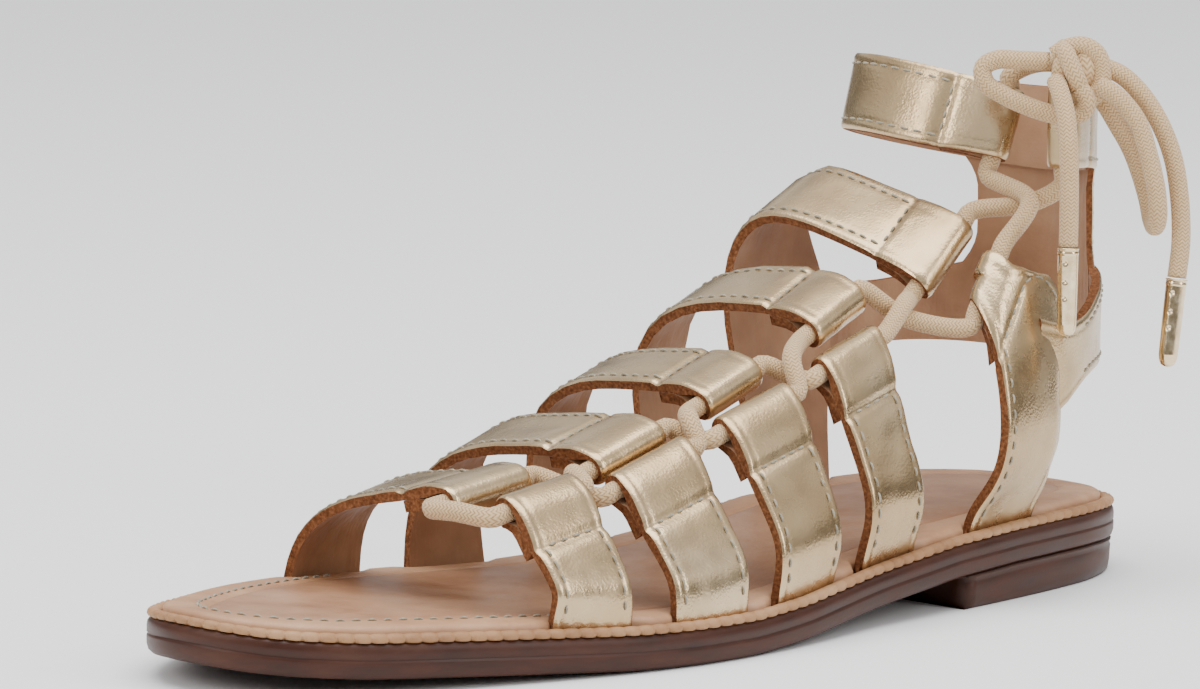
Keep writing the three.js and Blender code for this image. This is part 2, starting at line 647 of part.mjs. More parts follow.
function cordAlong(route, steps, radius) {
  const path = new THREE.CatmullRomCurve3(route.map((p) => new THREE.Vector3(...p)), false, 'centripetal');
  const tube = new THREE.ExtrudeGeometry(cordSection(radius), { steps, extrudePath: path, bevelEnabled: false });
  tube.deleteAttribute('normal');
  tube.deleteAttribute('uv');
  return facingOut(BufferGeometryUtils.mergeVertices(tube, 1e-4));
}

// Middle of a strap's bore at its front (0) or rear (1) mouth, pushed out along the bore by past mm.
function strapMouth(side, edges, rear, past) {
  const length = sidePath(side, lerp(edges(1).front, edges(1).rear, 0.5)).total;
  const face = strapFace(side, edges, length);
  const at = (across) => under(face, length, across, FOLD_RADIUS, INWARD[side]);
  const out = sub(at(rear), at(1 - rear)).normalize();
  return at(rear).add(out.multiplyScalar(past));
}

function ankleMouth(around, up, past) {
  const face = (a, across) => anklePoint(a, lerp(ankle.column('low')(around), ankle.column('high')(around), across));
  const at = (across) => under(face, around, across, FOLD_RADIUS, 1);
  const out = sub(at(up), at(1 - up)).normalize();
  return at(up).add(out.multiplyScalar(past));
}

const mouths = {};
for (const row of STRAP_PAIRS) {
  mouths[`out${row.pair}`] = (rear, past) => strapMouth('out', straightEdges(row.outFront, row.outRear), rear, past);
  mouths[`in${row.pair}`] = (rear, past) => strapMouth('in', straightEdges(row.inFront, row.inRear), rear, past);
}
mouths.out5 = (rear, past) => strapMouth('out', tableEdges(OUT_QUARTER_ROWS), rear, past);
mouths.in5 = (rear, past) => strapMouth('in', tableEdges(IN_QUARTER_ROWS), rear, past);
mouths.out6 = (rear, past) => ankleMouth(ankle.to, rear, past);
mouths.in6 = (rear, past) => ankleMouth(ankle.from, rear, past);

const MOUTH_GAP = 0.7;
const QUARTER_MOUTH_GAP = 3.2;
const MOUTH_RUN = 3.4;
const triple = (v) => [v.x, v.y, v.z];

// Lace from one mouth to another through the middle point given.
function span(fromMouth, fromRear, toMouth, toRear, middle) {
  const gap = (mouth) => (mouth.endsWith('5') ? QUARTER_MOUTH_GAP : MOUTH_GAP);
  return cordAlong([
    mouths[fromMouth](fromRear, gap(fromMouth)),
    mouths[fromMouth](fromRear, MOUTH_RUN),
    middle,
    mouths[toMouth](toRear, MOUTH_RUN),
    mouths[toMouth](toRear, gap(toMouth)),
  ].map(triple), 9);
}

function midway(...points) {
  return points.reduce((sum, p) => sum.add(p), new THREE.Vector3()).divideScalar(points.length);
}

function laceBar() {
  const middle = midway(mouths.in1(0, MOUTH_RUN), mouths.out1(0, MOUTH_RUN)).add(new THREE.Vector3(0, -1.2, 0.4));
  return span('in1', 0, 'out1', 0, middle);
}

// Two spans that press into each other where they cross. shift: the crossing's place from the middle
// of its four mouths; step: from the crossing's place to each span's middle, up on the over span.
function laceCrossing({ pair, shift, step }) {
  const next = pair + 1;
  const centre = midway(
    mouths[`out${pair}`](1, MOUTH_RUN),
    mouths[`in${pair}`](1, MOUTH_RUN),
    mouths[`out${next}`](0, MOUTH_RUN),
    mouths[`in${next}`](0, MOUTH_RUN),
  ).add(new THREE.Vector3(...shift));
  const half = new THREE.Vector3(...step);
  return joinAll([
    span(`out${pair}`, 1, `in${next}`, 0, centre.clone().add(half)),
    span(`in${pair}`, 1, `out${next}`, 0, centre.clone().sub(half)),
  ]);
}

const CROSSINGS = [
  { pair: 1, shift: [0, 0, 0.3], step: [0.2, -0.4, 1.4] },
  { pair: 2, shift: [0, 0, 0.3], step: [0.2, -0.4, 1.4] },
  { pair: 3, shift: [0, 0, 0.3], step: [0.2, -0.4, 1.4] },
  { pair: 4, shift: [0, 0, 0.3], step: [0.3, -0.6, 1.3] },
  { pair: 5, shift: [3.4, 3.4, 0.4], step: [0.9, -1.2, 0.3] },
];

function knot() {
  const ball = new THREE.SphereGeometry(1, 12, 8);
  ball.scale(4.6, 4.4, 4.2);
  ball.deleteAttribute('normal');
  ball.deleteAttribute('uv');
  ball.translate(...KNOT_CENTRE);
  return facingOut(BufferGeometryUtils.mergeVertices(ball, 1e-4));
}

function aglet(route) {
  const end = new THREE.Vector3(...route[route.length - 1]);
  const before = new THREE.Vector3(...route[route.length - 2]);
  const down = sub(end, before).normalize();
  const half = AGLET_LENGTH / 2;
  const profile = [[0, -half], [1.2, -half + 0.25], [AGLET_RADIUS - 0.3, -half + 1.2], [AGLET_RADIUS, -half + 2.6],
    [AGLET_RADIUS, half], [0, half]].map(([r, y]) => new THREE.Vector2(r, y));
  const body = new THREE.LatheGeometry(profile, 10);
  body.deleteAttribute('normal');
  body.deleteAttribute('uv');
  body.applyQuaternion(new THREE.Quaternion().setFromUnitVectors(new THREE.Vector3(0, -1, 0), down));
  const centre = end.add(down.multiplyScalar(half + FIT_GAP));
  body.translate(centre.x, centre.y, centre.z);
  return facingOut(BufferGeometryUtils.mergeVertices(body, 1e-4));
}

// ---------------------------------------------------------------- assembly
const LEATHER = { color: 0xc2b291, roughness: 0.36, metalness: 0.7 };
const TAN = { color: 0xb08a6c, roughness: 0.6, metalness: 0 };
const WELT_TAN = { color: 0xa07c56, roughness: 0.7, metalness: 0 };
const DARK_SOLE = { color: 0x4a3432, roughness: 0.5, metalness: 0 };
const CORD = { color: 0xd9c193, roughness: 0.85, metalness: 0 };
const BRASS = { color: 0xd8c187, roughness: 0.2, metalness: 1 };

const sandal = new THREE.Group();
const CORD_NAMES = /^(lace_knot|lace_tie|lace_loop|lace_end|aglet)/;
function add(name, geometry, look) {
  geometry.computeVertexNormals();
  const mesh = new THREE.Mesh(geometry, new THREE.MeshStandardMaterial(look));
  mesh.name = name;
  sandal.add(mesh);
}

const strapSides = STRAP_PAIRS.flatMap((row) => [
  { name: `strap_lateral_${row.pair}`, side: 'out', edges: straightEdges(row.outFront, row.outRear) },
  { name: `strap_medial_${row.pair}`, side: 'in', edges: straightEdges(row.inFront, row.inRear) },
]);
const quarterSides = [
  { side: 'out', edges: tableEdges(OUT_QUARTER_ROWS) },
  { side: 'in', edges: tableEdges(IN_QUARTER_ROWS) },
];

add('outsole', outsole(), DARK_SOLE);
add('heel', heelBlock(), DARK_SOLE);
add('welt', welt(), WELT_TAN);
add('insole', footbed([...strapSides, ...quarterSides].map(({ side, edges }) => pocket(side, edges))), TAN);
for (const { name, side, edges } of strapSides) {
  add(name, upright(side, edges, 3), LEATHER);
}
add('heel_cuff', heelCuff(), LEATHER);
add('lace_bar', laceBar(), CORD);
for (const crossing of CROSSINGS) {
  add(`lace_crossing_${crossing.pair}`, laceCrossing(crossing), CORD);
}
add('lace_knot', knot(), CORD);
add('lace_tie', cordAlong(TIE_ROUTE, 8), CORD);
add('lace_loop_front', cordAlong(LOOP_FRONT_ROUTE, 24), CORD);
add('lace_loop_side', cordAlong(LOOP_SIDE_ROUTE, 24), CORD);
add('lace_end_front', cordAlong(END_FRONT_ROUTE, 14), CORD);
add('lace_end_side', cordAlong(END_SIDE_ROUTE, 16), CORD);
add('aglet_front', aglet(END_FRONT_ROUTE), BRASS);
add('aglet_side', aglet(END_SIDE_ROUTE), BRASS);

// The origin is the middle of the box round everything but the bow, on the floor.
const box = new THREE.Box3();
for (const mesh of sandal.children.filter(({ name }) => !CORD_NAMES.test(name))) {
  box.union(new THREE.Box3().setFromBufferAttribute(mesh.geometry.attributes.position));
}
const middle = box.getCenter(new THREE.Vector3());
for (const mesh of sandal.children) {
  mesh.geometry.translate(-middle.x, -middle.y, 0);
}

export default sandal;
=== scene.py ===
# Left gladiator sandal in champagne metallic leather. Blender scene in metres; the tables are in
# millimetres in the last's own frame and place() moves them into the CAD frame.
import math
import random

import bmesh
import bpy
from mathutils import Matrix, Vector
from mathutils import noise as noise_field


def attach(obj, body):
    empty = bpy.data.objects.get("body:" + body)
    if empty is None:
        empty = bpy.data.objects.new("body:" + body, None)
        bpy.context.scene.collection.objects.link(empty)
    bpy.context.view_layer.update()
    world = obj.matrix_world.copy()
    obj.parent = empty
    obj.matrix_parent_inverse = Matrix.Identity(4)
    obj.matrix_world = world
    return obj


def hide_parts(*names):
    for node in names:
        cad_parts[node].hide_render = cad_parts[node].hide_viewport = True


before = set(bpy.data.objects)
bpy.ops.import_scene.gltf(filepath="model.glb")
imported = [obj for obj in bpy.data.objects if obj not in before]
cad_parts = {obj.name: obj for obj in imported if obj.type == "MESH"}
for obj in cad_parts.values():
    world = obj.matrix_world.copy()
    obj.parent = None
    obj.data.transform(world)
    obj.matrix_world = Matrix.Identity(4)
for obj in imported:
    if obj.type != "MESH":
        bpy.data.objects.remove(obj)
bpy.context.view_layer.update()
random.seed(7)

SHIFT_X, SHIFT_Y = -4.366, -1.15


def place(v):
    return Vector(((v[0] + SHIFT_X) / 1000, (v[1] + SHIFT_Y) / 1000, v[2] / 1000))


# ------------------------------------------------------------------ camera
camera_data = bpy.data.cameras.new("camera")
camera_data.lens = 197.98
camera_data.sensor_width = 36
camera_data.clip_end = 30
camera = bpy.data.objects.new("camera", camera_data)
bpy.context.scene.collection.objects.link(camera)
right = Vector((0.70949, 0.70454, 0.01596))
up = Vector((-0.10100, 0.07924, 0.99173))
back = Vector((0.69744, -0.70523, 0.12738))
camera.matrix_world = Matrix.Translation(place((884.057, -907.826, 215.98))) @ Matrix(
    ((right.x, up.x, back.x), (right.y, up.y, back.y), (right.z, up.z, back.z))
).to_4x4()
bpy.context.scene.camera = camera


# ------------------------------------------------------------------ shapes shared with the CAD
SOLE_LENGTH = 247.5
SOLE_CENTRE_Y = 1.15
SOLE_THICK = 6.9
# share, lateral, medial, bottom
SOLE_ROWS = [
    (0, 0, 0, 5.4), (0.01, 12.3, 13.6, 5.9), (0.042, 21.4, 22.2, 6.6), (0.095, 28, 27.6, 7.2),
    (0.154, 31.4, 29.8, 7.3), (0.216, 33.9, 29.8, 7.2), (0.299, 36.5, 27.4, 6.4), (0.402, 39.3, 24.9, 3.9),
    (0.504, 43.7, 27.2, 1), (0.566, 45.4, 31, 0), (0.628, 45.7, 34.7, 0), (0.691, 43.9, 37, 0.3),
    (0.772, 39.3, 36, 1.3), (0.845, 33.9, 32, 2.1), (0.909, 28, 25.9, 2.7), (0.953, 22.2, 19.3, 3.6),
    (0.974, 17.6, 14.8, 4.2), (0.99, 11.6, 9.2, 4.9), (1, 0, 0, 5.5),
]
# y, then [x, z] of the outer wall, shoulder and lace line, inner lace line, crown, shoulder and wall
LAST_ROWS = [
    (-66, (39, 15.5), (32, 24), (25, 31.5), (11, 33.2), (-3, 30.8), (-19, 27), (-30.5, 19)),
    (-46, (41, 16), (34.5, 25.5), (26, 35), (11, 36), (-2, 33.3), (-21, 30.5), (-33.5, 22)),
    (-35.5, (42, 15.7), (35, 23.8), (26.5, 33.3), (18, 36.8), (-6, 36.4), (-22, 32.8), (-32, 24)),
    (-16.5, (43, 16.5), (36, 26), (26.5, 38.8), (18, 42.7), (-6, 41.4), (-24, 39.2), (-33, 30)),
    (-6.5, (43.5, 18), (36.5, 29.5), (27, 41.7), (18, 46.3), (-5, 46.3), (-20, 44.8), (-30.5, 35)),
    (12, (41.8, 19), (36.5, 31), (27, 46.8), (17, 52.6), (-6, 52.3), (-23, 50), (-33, 40)),
    (22, (40.5, 22), (34, 37.5), (26.5, 50.5), (18, 56.6), (-10, 58.3), (-25, 55), (-33, 44)),
    (40.5, (38.6, 23), (33, 36.5), (25.5, 55.5), (16.5, 64.2), (-12, 65.6), (-27, 62), (-35, 50)),
    (56, (40.3, 28), (39.2, 42), (29.5, 50.5), (15.5, 61), (-10, 72), (-28, 74), (-34.5, 58)),
    (73, (37.5, 29), (35.5, 50), (27, 73), (14.5, 76.5), (-8, 80.5), (-28, 83.5), (-35.5, 60)),
    (92, (33.5, 30), (31, 52), (26, 80), (12, 90), (-8, 93), (-28, 88), (-30.5, 56)),
]
# pair: lateral front and rear edge, medial front and rear edge
STRAP_PAIRS = {
    1: (-62.6, -45.4, -66.2, -46.6),
    2: (-34.9, -15.8, -34.6, -17.4),
    3: (-6.6, 11.8, -5.2, 10.2),
    4: (21.8, 38.8, 25.6, 40.6),
}
# share of the height, front edge, rear edge
OUT_QUARTER = [
    (0, 57.7, 79.2), (0.2, 59, 82), (0.45, 60.3, 83.5), (0.62, 61, 87), (0.74, 61.6, 83), (0.86, 62.2, 73),
    (1, 62.6, 70),
]
IN_QUARTER = [
    (0, 57, 79), (0.15, 56.5, 80.5), (0.3, 55.6, 85), (0.42, 55, 81), (0.55, 55, 73.5), (0.8, 57, 72.6),
    (1, 59, 72),
]
ANKLE_Z = 95
# x, y, lean, low, high
ANKLE_ROWS = [
    (13.5, 85.5, 0.38, 86.6, 100.2), (1, 78.3, 0.38, 88.4, 103.2), (-13, 76.2, 0.36, 89.8, 104.8),
    (-24, 80.6, 0.28, 89.2, 104.4), (-28.6, 91, 0.1, 86.8, 102.6), (-27, 102, 0, 84.2, 100.4),
    (-20.6, 112.6, 0.02, 82, 98.4), (-11.6, 119.4, 0.03, 80.4, 97.2), (-2.2, 121.6, 0.04, 80, 97),
    (7.4, 119.2, 0.03, 80.6, 97.4), (16.4, 112.2, 0, 82, 98.6), (23.6, 102.2, 0, 83.6, 100),
    (29.5, 91.5, 0, 84.6, 101),
]
# x, y, low, high
HEEL_ROWS = [
    (-35.2, 73.5, 36, 60), (-33.6, 82.5, 40.5, 56.5), (-30.2, 94.5, 43.2, 56.2), (-25.8, 104.4, 43.8, 57.6),
    (-19.4, 113.2, 43.4, 60), (-11.4, 119.8, 42.6, 62), (-2.2, 122.4, 42.2, 62), (7.6, 120.4, 42.4, 62),
    (16.6, 113.8, 43, 61.4), (25.4, 103.6, 43.4, 58.6), (31.6, 92.4, 42, 55.2), (34.2, 84, 38, 54.2),
    (35.6, 76, 34, 56),
]
HEEL_Z = 50
FOLD_R = 3.3
BORE_R = 2.05
CORD_R = 1.9
WALL = 2.2
STITCH_COLUMN = 4  # station of the edge stitches, 2 mm in
CROSS_STITCH = 11.2  # distance of the cross stitch from the lace line
NEAR_LENGTH = 13  # stretch next to the lace line that keeps its length
HEEL_SHARE = 0.2855
WELT_PITCH = 3.3
WELT_STEPS = 7


def lerp(a, b, s):
    return a + (b - a) * s


def clamp(v, a=0.0, b=1.0):
    return max(a, min(b, v))


def smooth(s):
    s = clamp(s)
    return s * s * (3 - 2 * s)


def bell(at, centre, width):
    return math.exp(-(((at - centre) / width) ** 2))


def row_before(rows, key, at):
    last = len(rows) - 1
    return next((k for k in range(last) if at <= rows[k + 1][key]), last - 1)


def column(rows, key, col, at):
    """Smooth value of one column at a place along the key column."""
    last = len(rows) - 1
    i = row_before(rows, key, at)

    def slope(j):
        a, b = rows[max(j - 1, 0)], rows[min(j + 1, last)]
        return (b[col] - a[col]) / (b[key] - a[key])

    span = rows[i + 1][key] - rows[i][key]
    s = (at - rows[i][key]) / span
    return (
        (2 * s**3 - 3 * s**2 + 1) * rows[i][col]
        + (s**3 - 2 * s**2 + s) * span * slope(i)
        + (3 * s**2 - 2 * s**3) * rows[i + 1][col]
        + (s**3 - s**2) * span * slope(i + 1)
    )


def column_line(rows, key, col, at):
    """Value of one column along straight lines from row to row."""
    i = row_before(rows, key, at)
    s = clamp((at - rows[i][key]) / (rows[i + 1][key] - rows[i][key]))
    return lerp(rows[i][col], rows[i + 1][col], s)


def spline(points, t):
    """Centripetal Catmull-Rom curve through the points, t from 0 to 1."""
    count = len(points)
    p = (count - 1) * t
    k = min(int(math.floor(p)), count - 2)
    w = p - k
    p1, p2 = points[k], points[k + 1]
    p0 = points[k - 1] if k > 0 else p1 * 2 - p2
    p3 = points[k + 2] if k + 2 < count else p2 * 2 - p1
    d0, d1, d2 = (max((a - b).length ** 0.5, 1e-4) for a, b in ((p0, p1), (p1, p2), (p2, p3)))
    t1 = ((p1 - p0) / d0 - (p2 - p0) / (d0 + d1) + (p2 - p1) / d1) * d1
    t2 = ((p2 - p1) / d1 - (p3 - p1) / (d1 + d2) + (p3 - p2) / d2) * d1
    return p1 + t1 * w + (p2 * 3 - p1 * 3 - t1 * 2 - t2) * w**2 + (p1 * 2 - p2 * 2 + t1 + t2) * w**3


def running(points):
    """Length along the points up to each of them."""
    lengths = [0.0]
    for p, q in zip(points, points[1:]):
        lengths.append(lengths[-1] + (q - p).length)
    return lengths


def locate(lengths, at):
    """Number of the point at or past a length, and the share of the way to it from the one before."""
    k = next((n for n in range(1, len(lengths)) if lengths[n] >= at), len(lengths) - 1)
    return k, (at - lengths[k - 1]) / max(lengths[k] - lengths[k - 1], 1e-6)


def sampled(points, step):
    """Points every step mm along the smooth curve through points."""
    fine = [spline(points, k / (len(points) * 24)) for k in range(len(points) * 24 + 1)]
    lengths = running(fine)
    count = max(4, round(lengths[-1] / step))
    out, k = [fine[0]], 0
    for n in range(1, count):
        want = lengths[-1] * n / count
        while lengths[k + 1] < want:
            k += 1
        out.append(fine[k].lerp(fine[k + 1], (want - lengths[k]) / (fine[k + 1] - fine[k]).length))
    return out + [fine[-1]]


# ------------------------------------------------------------------ mesh helpers
def new_object(name, vertices, faces, materials, indices=None, smooth_faces=True, sharp=True):
    mesh = bpy.data.meshes.new(name)
    mesh.from_pydata([place(v) for v in vertices], [], faces)
    for m in materials:
        mesh.materials.append(m)
    if indices:
        mesh.polygons.foreach_set("material_index", indices)
    mesh.polygons.foreach_set("use_smooth", [smooth_faces] * len(mesh.polygons))
    bm = bmesh.new()
    bm.from_mesh(mesh)
    bmesh.ops.recalc_face_normals(bm, faces=bm.faces)
    if sharp:
        for e in bm.edges:
            if len(e.link_faces) == 2 and e.link_faces[0].material_index != e.link_faces[1].material_index:
                e.smooth = False
    bm.to_mesh(mesh)
    bm.free()
    obj = bpy.data.objects.new(name, mesh)
    bpy.context.scene.collection.objects.link(obj)
    return obj


def circle(centre, u, v, radius, sides):
    turns = [2 * math.pi * k / sides for k in range(sides)]
    return [centre + u * (radius * math.cos(a)) + v * (radius * math.sin(a)) for a in turns]


def ring_quads(rings, count, base=0):
    """Faces between neighbouring rings of count vertices each."""
    quads = []
    for start in range(base, base + (rings - 1) * count, count):
        for k in range(count):
            a, b = start + k, start + (k + 1) % count
            quads.append((a, b, b + count, a + count))
    return quads


def ride(obj, slot, *nodes):
    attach(obj, "root")
    if nodes:
        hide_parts(*nodes)
    return obj


def tube(name, points, radius, material, sides=18):
    """Round tube along points in mm, with a UV map in mm: u round it, v along it."""
    normal = (points[1] - points[0]).normalized().orthogonal().normalized()
    lengths = running(points)
    vertices = []
    for k, p in enumerate(points):
        a, b = points[max(k - 1, 0)], points[min(k + 1, len(points) - 1)]
        t = (b - a).normalized()
        normal = (normal - t * normal.dot(t)).normalized()
        vertices += circle(p, normal, t.cross(normal), radius, sides)
    faces = ring_quads(len(points), sides)
    faces.append(tuple(range(sides - 1, -1, -1)))
    faces.append(tuple((len(points) - 1) * sides + j for j in range(sides)))
    obj = new_object(name, vertices, faces, [material], sharp=False)
    uv = obj.data.uv_layers.new(name="run")
    for poly in obj.data.polygons:
        ring = [obj.data.loops[i].vertex_index for i in poly.loop_indices]
        wraps = {v % sides for v in ring} >= {0, sides - 1} and len(ring) == 4
        for i, v in zip(poly.loop_indices, ring):
            j = v % sides
            if wraps and j == 0:
                j = sides
            uv.data[i].uv = (j / sides, lengths[v // sides])
    return obj


# ------------------------------------------------------------------ materials
def shader(name, base, rough, metal=0.0, **extra):
    m = bpy.data.materials.new(name)
    m.use_nodes = True
    tree = m.node_tree
    bsdf = tree.nodes["Principled BSDF"]
    bsdf.inputs["Base Color"].default_value = (*base, 1)
    bsdf.inputs["Roughness"].default_value = rough
    bsdf.inputs["Metallic"].default_value = metal
    for key, value in extra.items():
        bsdf.inputs[key.replace("_", " ")].default_value = value
    return m, tree, bsdf


def node(tree, kind, **values):
    n = tree.nodes.new(kind)
    for key, value in values.items():
        if key in n.inputs:
            n.inputs[key].default_value = value
        else:
            setattr(n, key, value)
    return n


def coordinates(tree, scale=(1, 1, 1), uv=False):
    source = node(tree, "ShaderNodeTexCoord")
    mapping = node(tree, "ShaderNodeMapping")
    mapping.inputs["Scale"].default_value = scale
    tree.links.new(source.outputs["UV" if uv else "Object"], mapping.inputs["Vector"])
    return mapping.outputs["Vector"]


def noise(tree, vector, scale, detail=3.0, rough=0.55):
    n = node(tree, "ShaderNodeTexNoise")
    n.inputs["Scale"].default_value = scale
    n.inputs["Detail"].default_value = detail
    n.inputs["Roughness"].default_value = rough
    tree.links.new(vector, n.inputs["Vector"])
    return n.outputs["Fac"]


def ramp(tree, fac, stops):
    n = node(tree, "ShaderNodeValToRGB")
    ends = n.color_ramp.elements
    ends[0].position, ends[0].color = stops[0][0], (*stops[0][1], 1)
    ends[1].position, ends[1].color = stops[-1][0], (*stops[-1][1], 1)
    for at, colour in stops[1:-1]:
        ends.new(at).color = (*colour, 1)
    tree.links.new(fac, n.inputs["Fac"])
    return n.outputs["Color"]


def tint(tree, bsdf, fac, stops):
    tree.links.new(ramp(tree, fac, stops), bsdf.inputs["Base Color"])


def gloss(tree, bsdf, fac, low, high):
    """Roughness from low to high over the middle of a noise."""
    n = node(tree, "ShaderNodeMapRange")
    n.inputs["From Min"].default_value = 0.3
    n.inputs["From Max"].default_value = 0.7
    n.inputs["To Min"].default_value = low
    n.inputs["To Max"].default_value = high
    tree.links.new(fac, n.inputs["Value"])
    tree.links.new(n.outputs["Result"], bsdf.inputs["Roughness"])


def bump(tree, bsdf, layers):
    """layers: (height socket, strength, distance in mm), the first one deepest in the chain."""
    last = None
    for height, strength, distance in layers:
        n = node(tree, "ShaderNodeBump")
        n.inputs["Strength"].default_value = strength
        n.inputs["Distance"].default_value = distance / 1000
        tree.links.new(height, n.inputs["Height"])
        if last:
            tree.links.new(last, n.inputs["Normal"])
        last = n.outputs["Normal"]
    tree.links.new(last, bsdf.inputs["Normal"])


def cells(tree, vector, scale):
    n = node(tree, "ShaderNodeTexVoronoi")
    n.inputs["Scale"].default_value = scale
    n.feature = "SMOOTH_F1"
    tree.links.new(vector, n.inputs["Vector"])
    return n.outputs["Distance"]


def leather_metal():
    m, t, b = shader("champagne_leather", (0.6, 0.47, 0.29), 0.28, 0.92)
    v = coordinates(t)
    tint(t, b, noise(t, v, 38, 4), [
        (0.25, (0.4, 0.27, 0.14)), (0.5, (0.55, 0.4, 0.225)), (0.75, (0.66, 0.52, 0.33)),
    ])
    gloss(t, b, noise(t, v, 160, 4), 0.2, 0.34)
    bump(t, b, [
        (noise(t, v, 45, 2), 0.25, 0.5), (cells(t, v, 1900), 0.36, 0.1), (noise(t, v, 2600, 2), 0.25, 0.05),
    ])
    return m


def lining_leather():
    m, t, b = shader("lining_leather", (0.6, 0.4, 0.28), 0.55, 0.0, Sheen_Weight=0.15)
    v = coordinates(t)
    tall = coordinates(t, (1, 1, 0.16))
    tint(t, b, noise(t, v, 55, 5), [
        (0.25, (0.25, 0.118, 0.055)), (0.55, (0.4, 0.215, 0.11)), (0.8, (0.5, 0.3, 0.17)),
    ])
    gloss(t, b, noise(t, v, 200), 0.42, 0.68)
    bump(t, b, [(noise(t, tall, 230, 3, 0.45), 0.7, 1.1), (cells(t, v, 1700), 0.4, 0.12)])
    return m


def raw_edge():
    m, t, b = shader("raw_edge", (0.25, 0.12, 0.06), 0.95, 0.0, Specular_IOR_Level=0.2)
    v = coordinates(t)
    tint(t, b, noise(t, v, 1500, 4), [
        (0.3, (0.09, 0.03, 0.01)), (0.55, (0.2, 0.075, 0.028)), (0.78, (0.34, 0.15, 0.065)),
    ])
    bump(t, b, [(noise(t, v, 1500, 3), 0.8, 0.3)])
    return m


def waxed_braid():
    m, t, b = shader("waxed_braid", (0.55, 0.42, 0.28), 0.78, 0.0, Sheen_Weight=0.25)
    uv = coordinates(t, (1, 1, 1), uv=True)
    parts = node(t, "ShaderNodeSeparateXYZ")
    t.links.new(uv, parts.inputs[0])

    def math_node(kind, a, c=None):
        n = node(t, "ShaderNodeMath", operation=kind)
        for i, value in enumerate((a, c)):
            if value is None:
                continue
            if isinstance(value, (int, float)):
                n.inputs[i].default_value = value
            else:
                t.links.new(value, n.inputs[i])
        return n.outputs[0]

    around = math_node("MULTIPLY", parts.outputs["X"], 9.0)
    along = math_node("MULTIPLY", parts.outputs["Y"], 1.35)
    zig = math_node("ABSOLUTE", math_node("SUBTRACT", math_node("FRACT", around), 0.5))
    wave = math_node("ADD", along, math_node("MULTIPLY", zig, 1.6))
    strand = math_node("ABSOLUTE", math_node("SINE", math_node("MULTIPLY", wave, math.pi)))
    flank = math_node("ABSOLUTE", math_node("SUBTRACT", zig, 0.25))
    rib = math_node("MULTIPLY", math_node("SUBTRACT", 0.5, flank), 1.2)
    height = math_node("ADD", strand, rib)
    v = coordinates(t)
    fuzz = noise(t, v, 2200, 3)
    # Colour follows the strand profile: painted shade in the grooves between the strands, plus random fibre
    # tone from the fuzz noise.
    groove_shade_and_fuzz_tone = math_node("ADD", math_node("MULTIPLY", strand, 0.62), math_node("MULTIPLY", fuzz, 0.5))
    tint(t, b, groove_shade_and_fuzz_tone, [
        (0.1, (0.28, 0.145, 0.055)), (0.5, (0.56, 0.36, 0.17)), (0.95, (0.74, 0.54, 0.31)),
    ])
    bump(t, b, [(height, 0.6, 0.25), (fuzz, 0.35, 0.12)])
    return m


def brass():
    m, t, b = shader("brass", (0.86, 0.68, 0.42), 0.16, 1.0)
    v = coordinates(t)
    gloss(t, b, noise(t, v, 700, 4), 0.1, 0.26)
    tint(t, b, noise(t, v, 260, 3), [(0.3, (0.76, 0.57, 0.33)), (0.7, (0.92, 0.76, 0.5))])
    bump(t, b, [(noise(t, v, 900, 2), 0.15, 0.05)])
    return m


def tan_leather(name, dark, mid, light, low, high, grain=1100):
    m, t, b = shader(name, mid, 0.5)
    v = coordinates(t)
    tint(t, b, noise(t, v, 48, 6), [(0.28, dark), (0.52, mid), (0.78, light)])
    gloss(t, b, noise(t, v, 150, 4), low, high)
    bump(t, b, [(noise(t, v, 120, 4), 0.35, 0.4), (cells(t, v, grain), 0.4, 0.12)])
    return m


def thread():
    m, t, b = shader("thread", (0.5, 0.46, 0.4), 0.7, 0.0, Sheen_Weight=0.3)
    v = coordinates(t)
    tint(t, b, noise(t, v, 900, 3), [(0.3, (0.2, 0.175, 0.12)), (0.7, (0.4, 0.36, 0.27))])
    bump(t, b, [(noise(t, v, 4000, 2), 0.5, 0.08)])
    return m


def dark_rubber():
    m, t, b = shader("dark_rubber", (0.06, 0.036, 0.03), 0.42, 0.0, Specular_IOR_Level=0.3)
    v = coordinates(t)
    flat = coordinates(t, (0.25, 0.25, 1))
    parts = node(t, "ShaderNodeSeparateXYZ")
    t.links.new(v, parts.inputs[0])
    tint(t, b, noise(t, flat, 300, 5), [
        (0.25, (0.026, 0.0065, 0.0025)), (0.55, (0.05, 0.014, 0.006)), (0.8, (0.075, 0.025, 0.012)),
    ])
    gloss(t, b, noise(t, flat, 300, 4), 0.34, 0.5)
    bump(t, b, [(noise(t, flat, 300, 3), 0.2, 0.15), (noise(t, v, 1800, 2), 0.25, 0.06)])
    return m


METAL = leather_metal()
LINING = lining_leather()
EDGE = raw_edge()
BRAID = waxed_braid()
BRASS = brass()
THREAD = thread()
RUBBER = dark_rubber()
BED = tan_leather("footbed_leather", (0.32, 0.15, 0.07), (0.47, 0.26, 0.14), (0.58, 0.36, 0.22), 0.38, 0.6)
BED_INNER = tan_leather(
    "footbed_satin", (0.25, 0.115, 0.055), (0.38, 0.2, 0.11), (0.47, 0.275, 0.165), 0.3, 0.48
)
WELT = tan_leather("welt_tan", (0.22, 0.1, 0.04), (0.38, 0.2, 0.09), (0.5, 0.3, 0.16), 0.5, 0.75, 1800)


# ------------------------------------------------------------------ last and leather walls
SOLE_KEYED = [(math.acos(1 - 2 * r[0]), r[1], r[2]) for r in SOLE_ROWS]


def share_at(y):
    return (SOLE_LENGTH / 2 + SOLE_CENTRE_Y - y) / SOLE_LENGTH


def bottom_at(y):
    return max(0.0, column_line(SOLE_ROWS, 0, 3, clamp(share_at(y))))


def top_at(y):
    return bottom_at(y) + SOLE_THICK


PATHS = {}


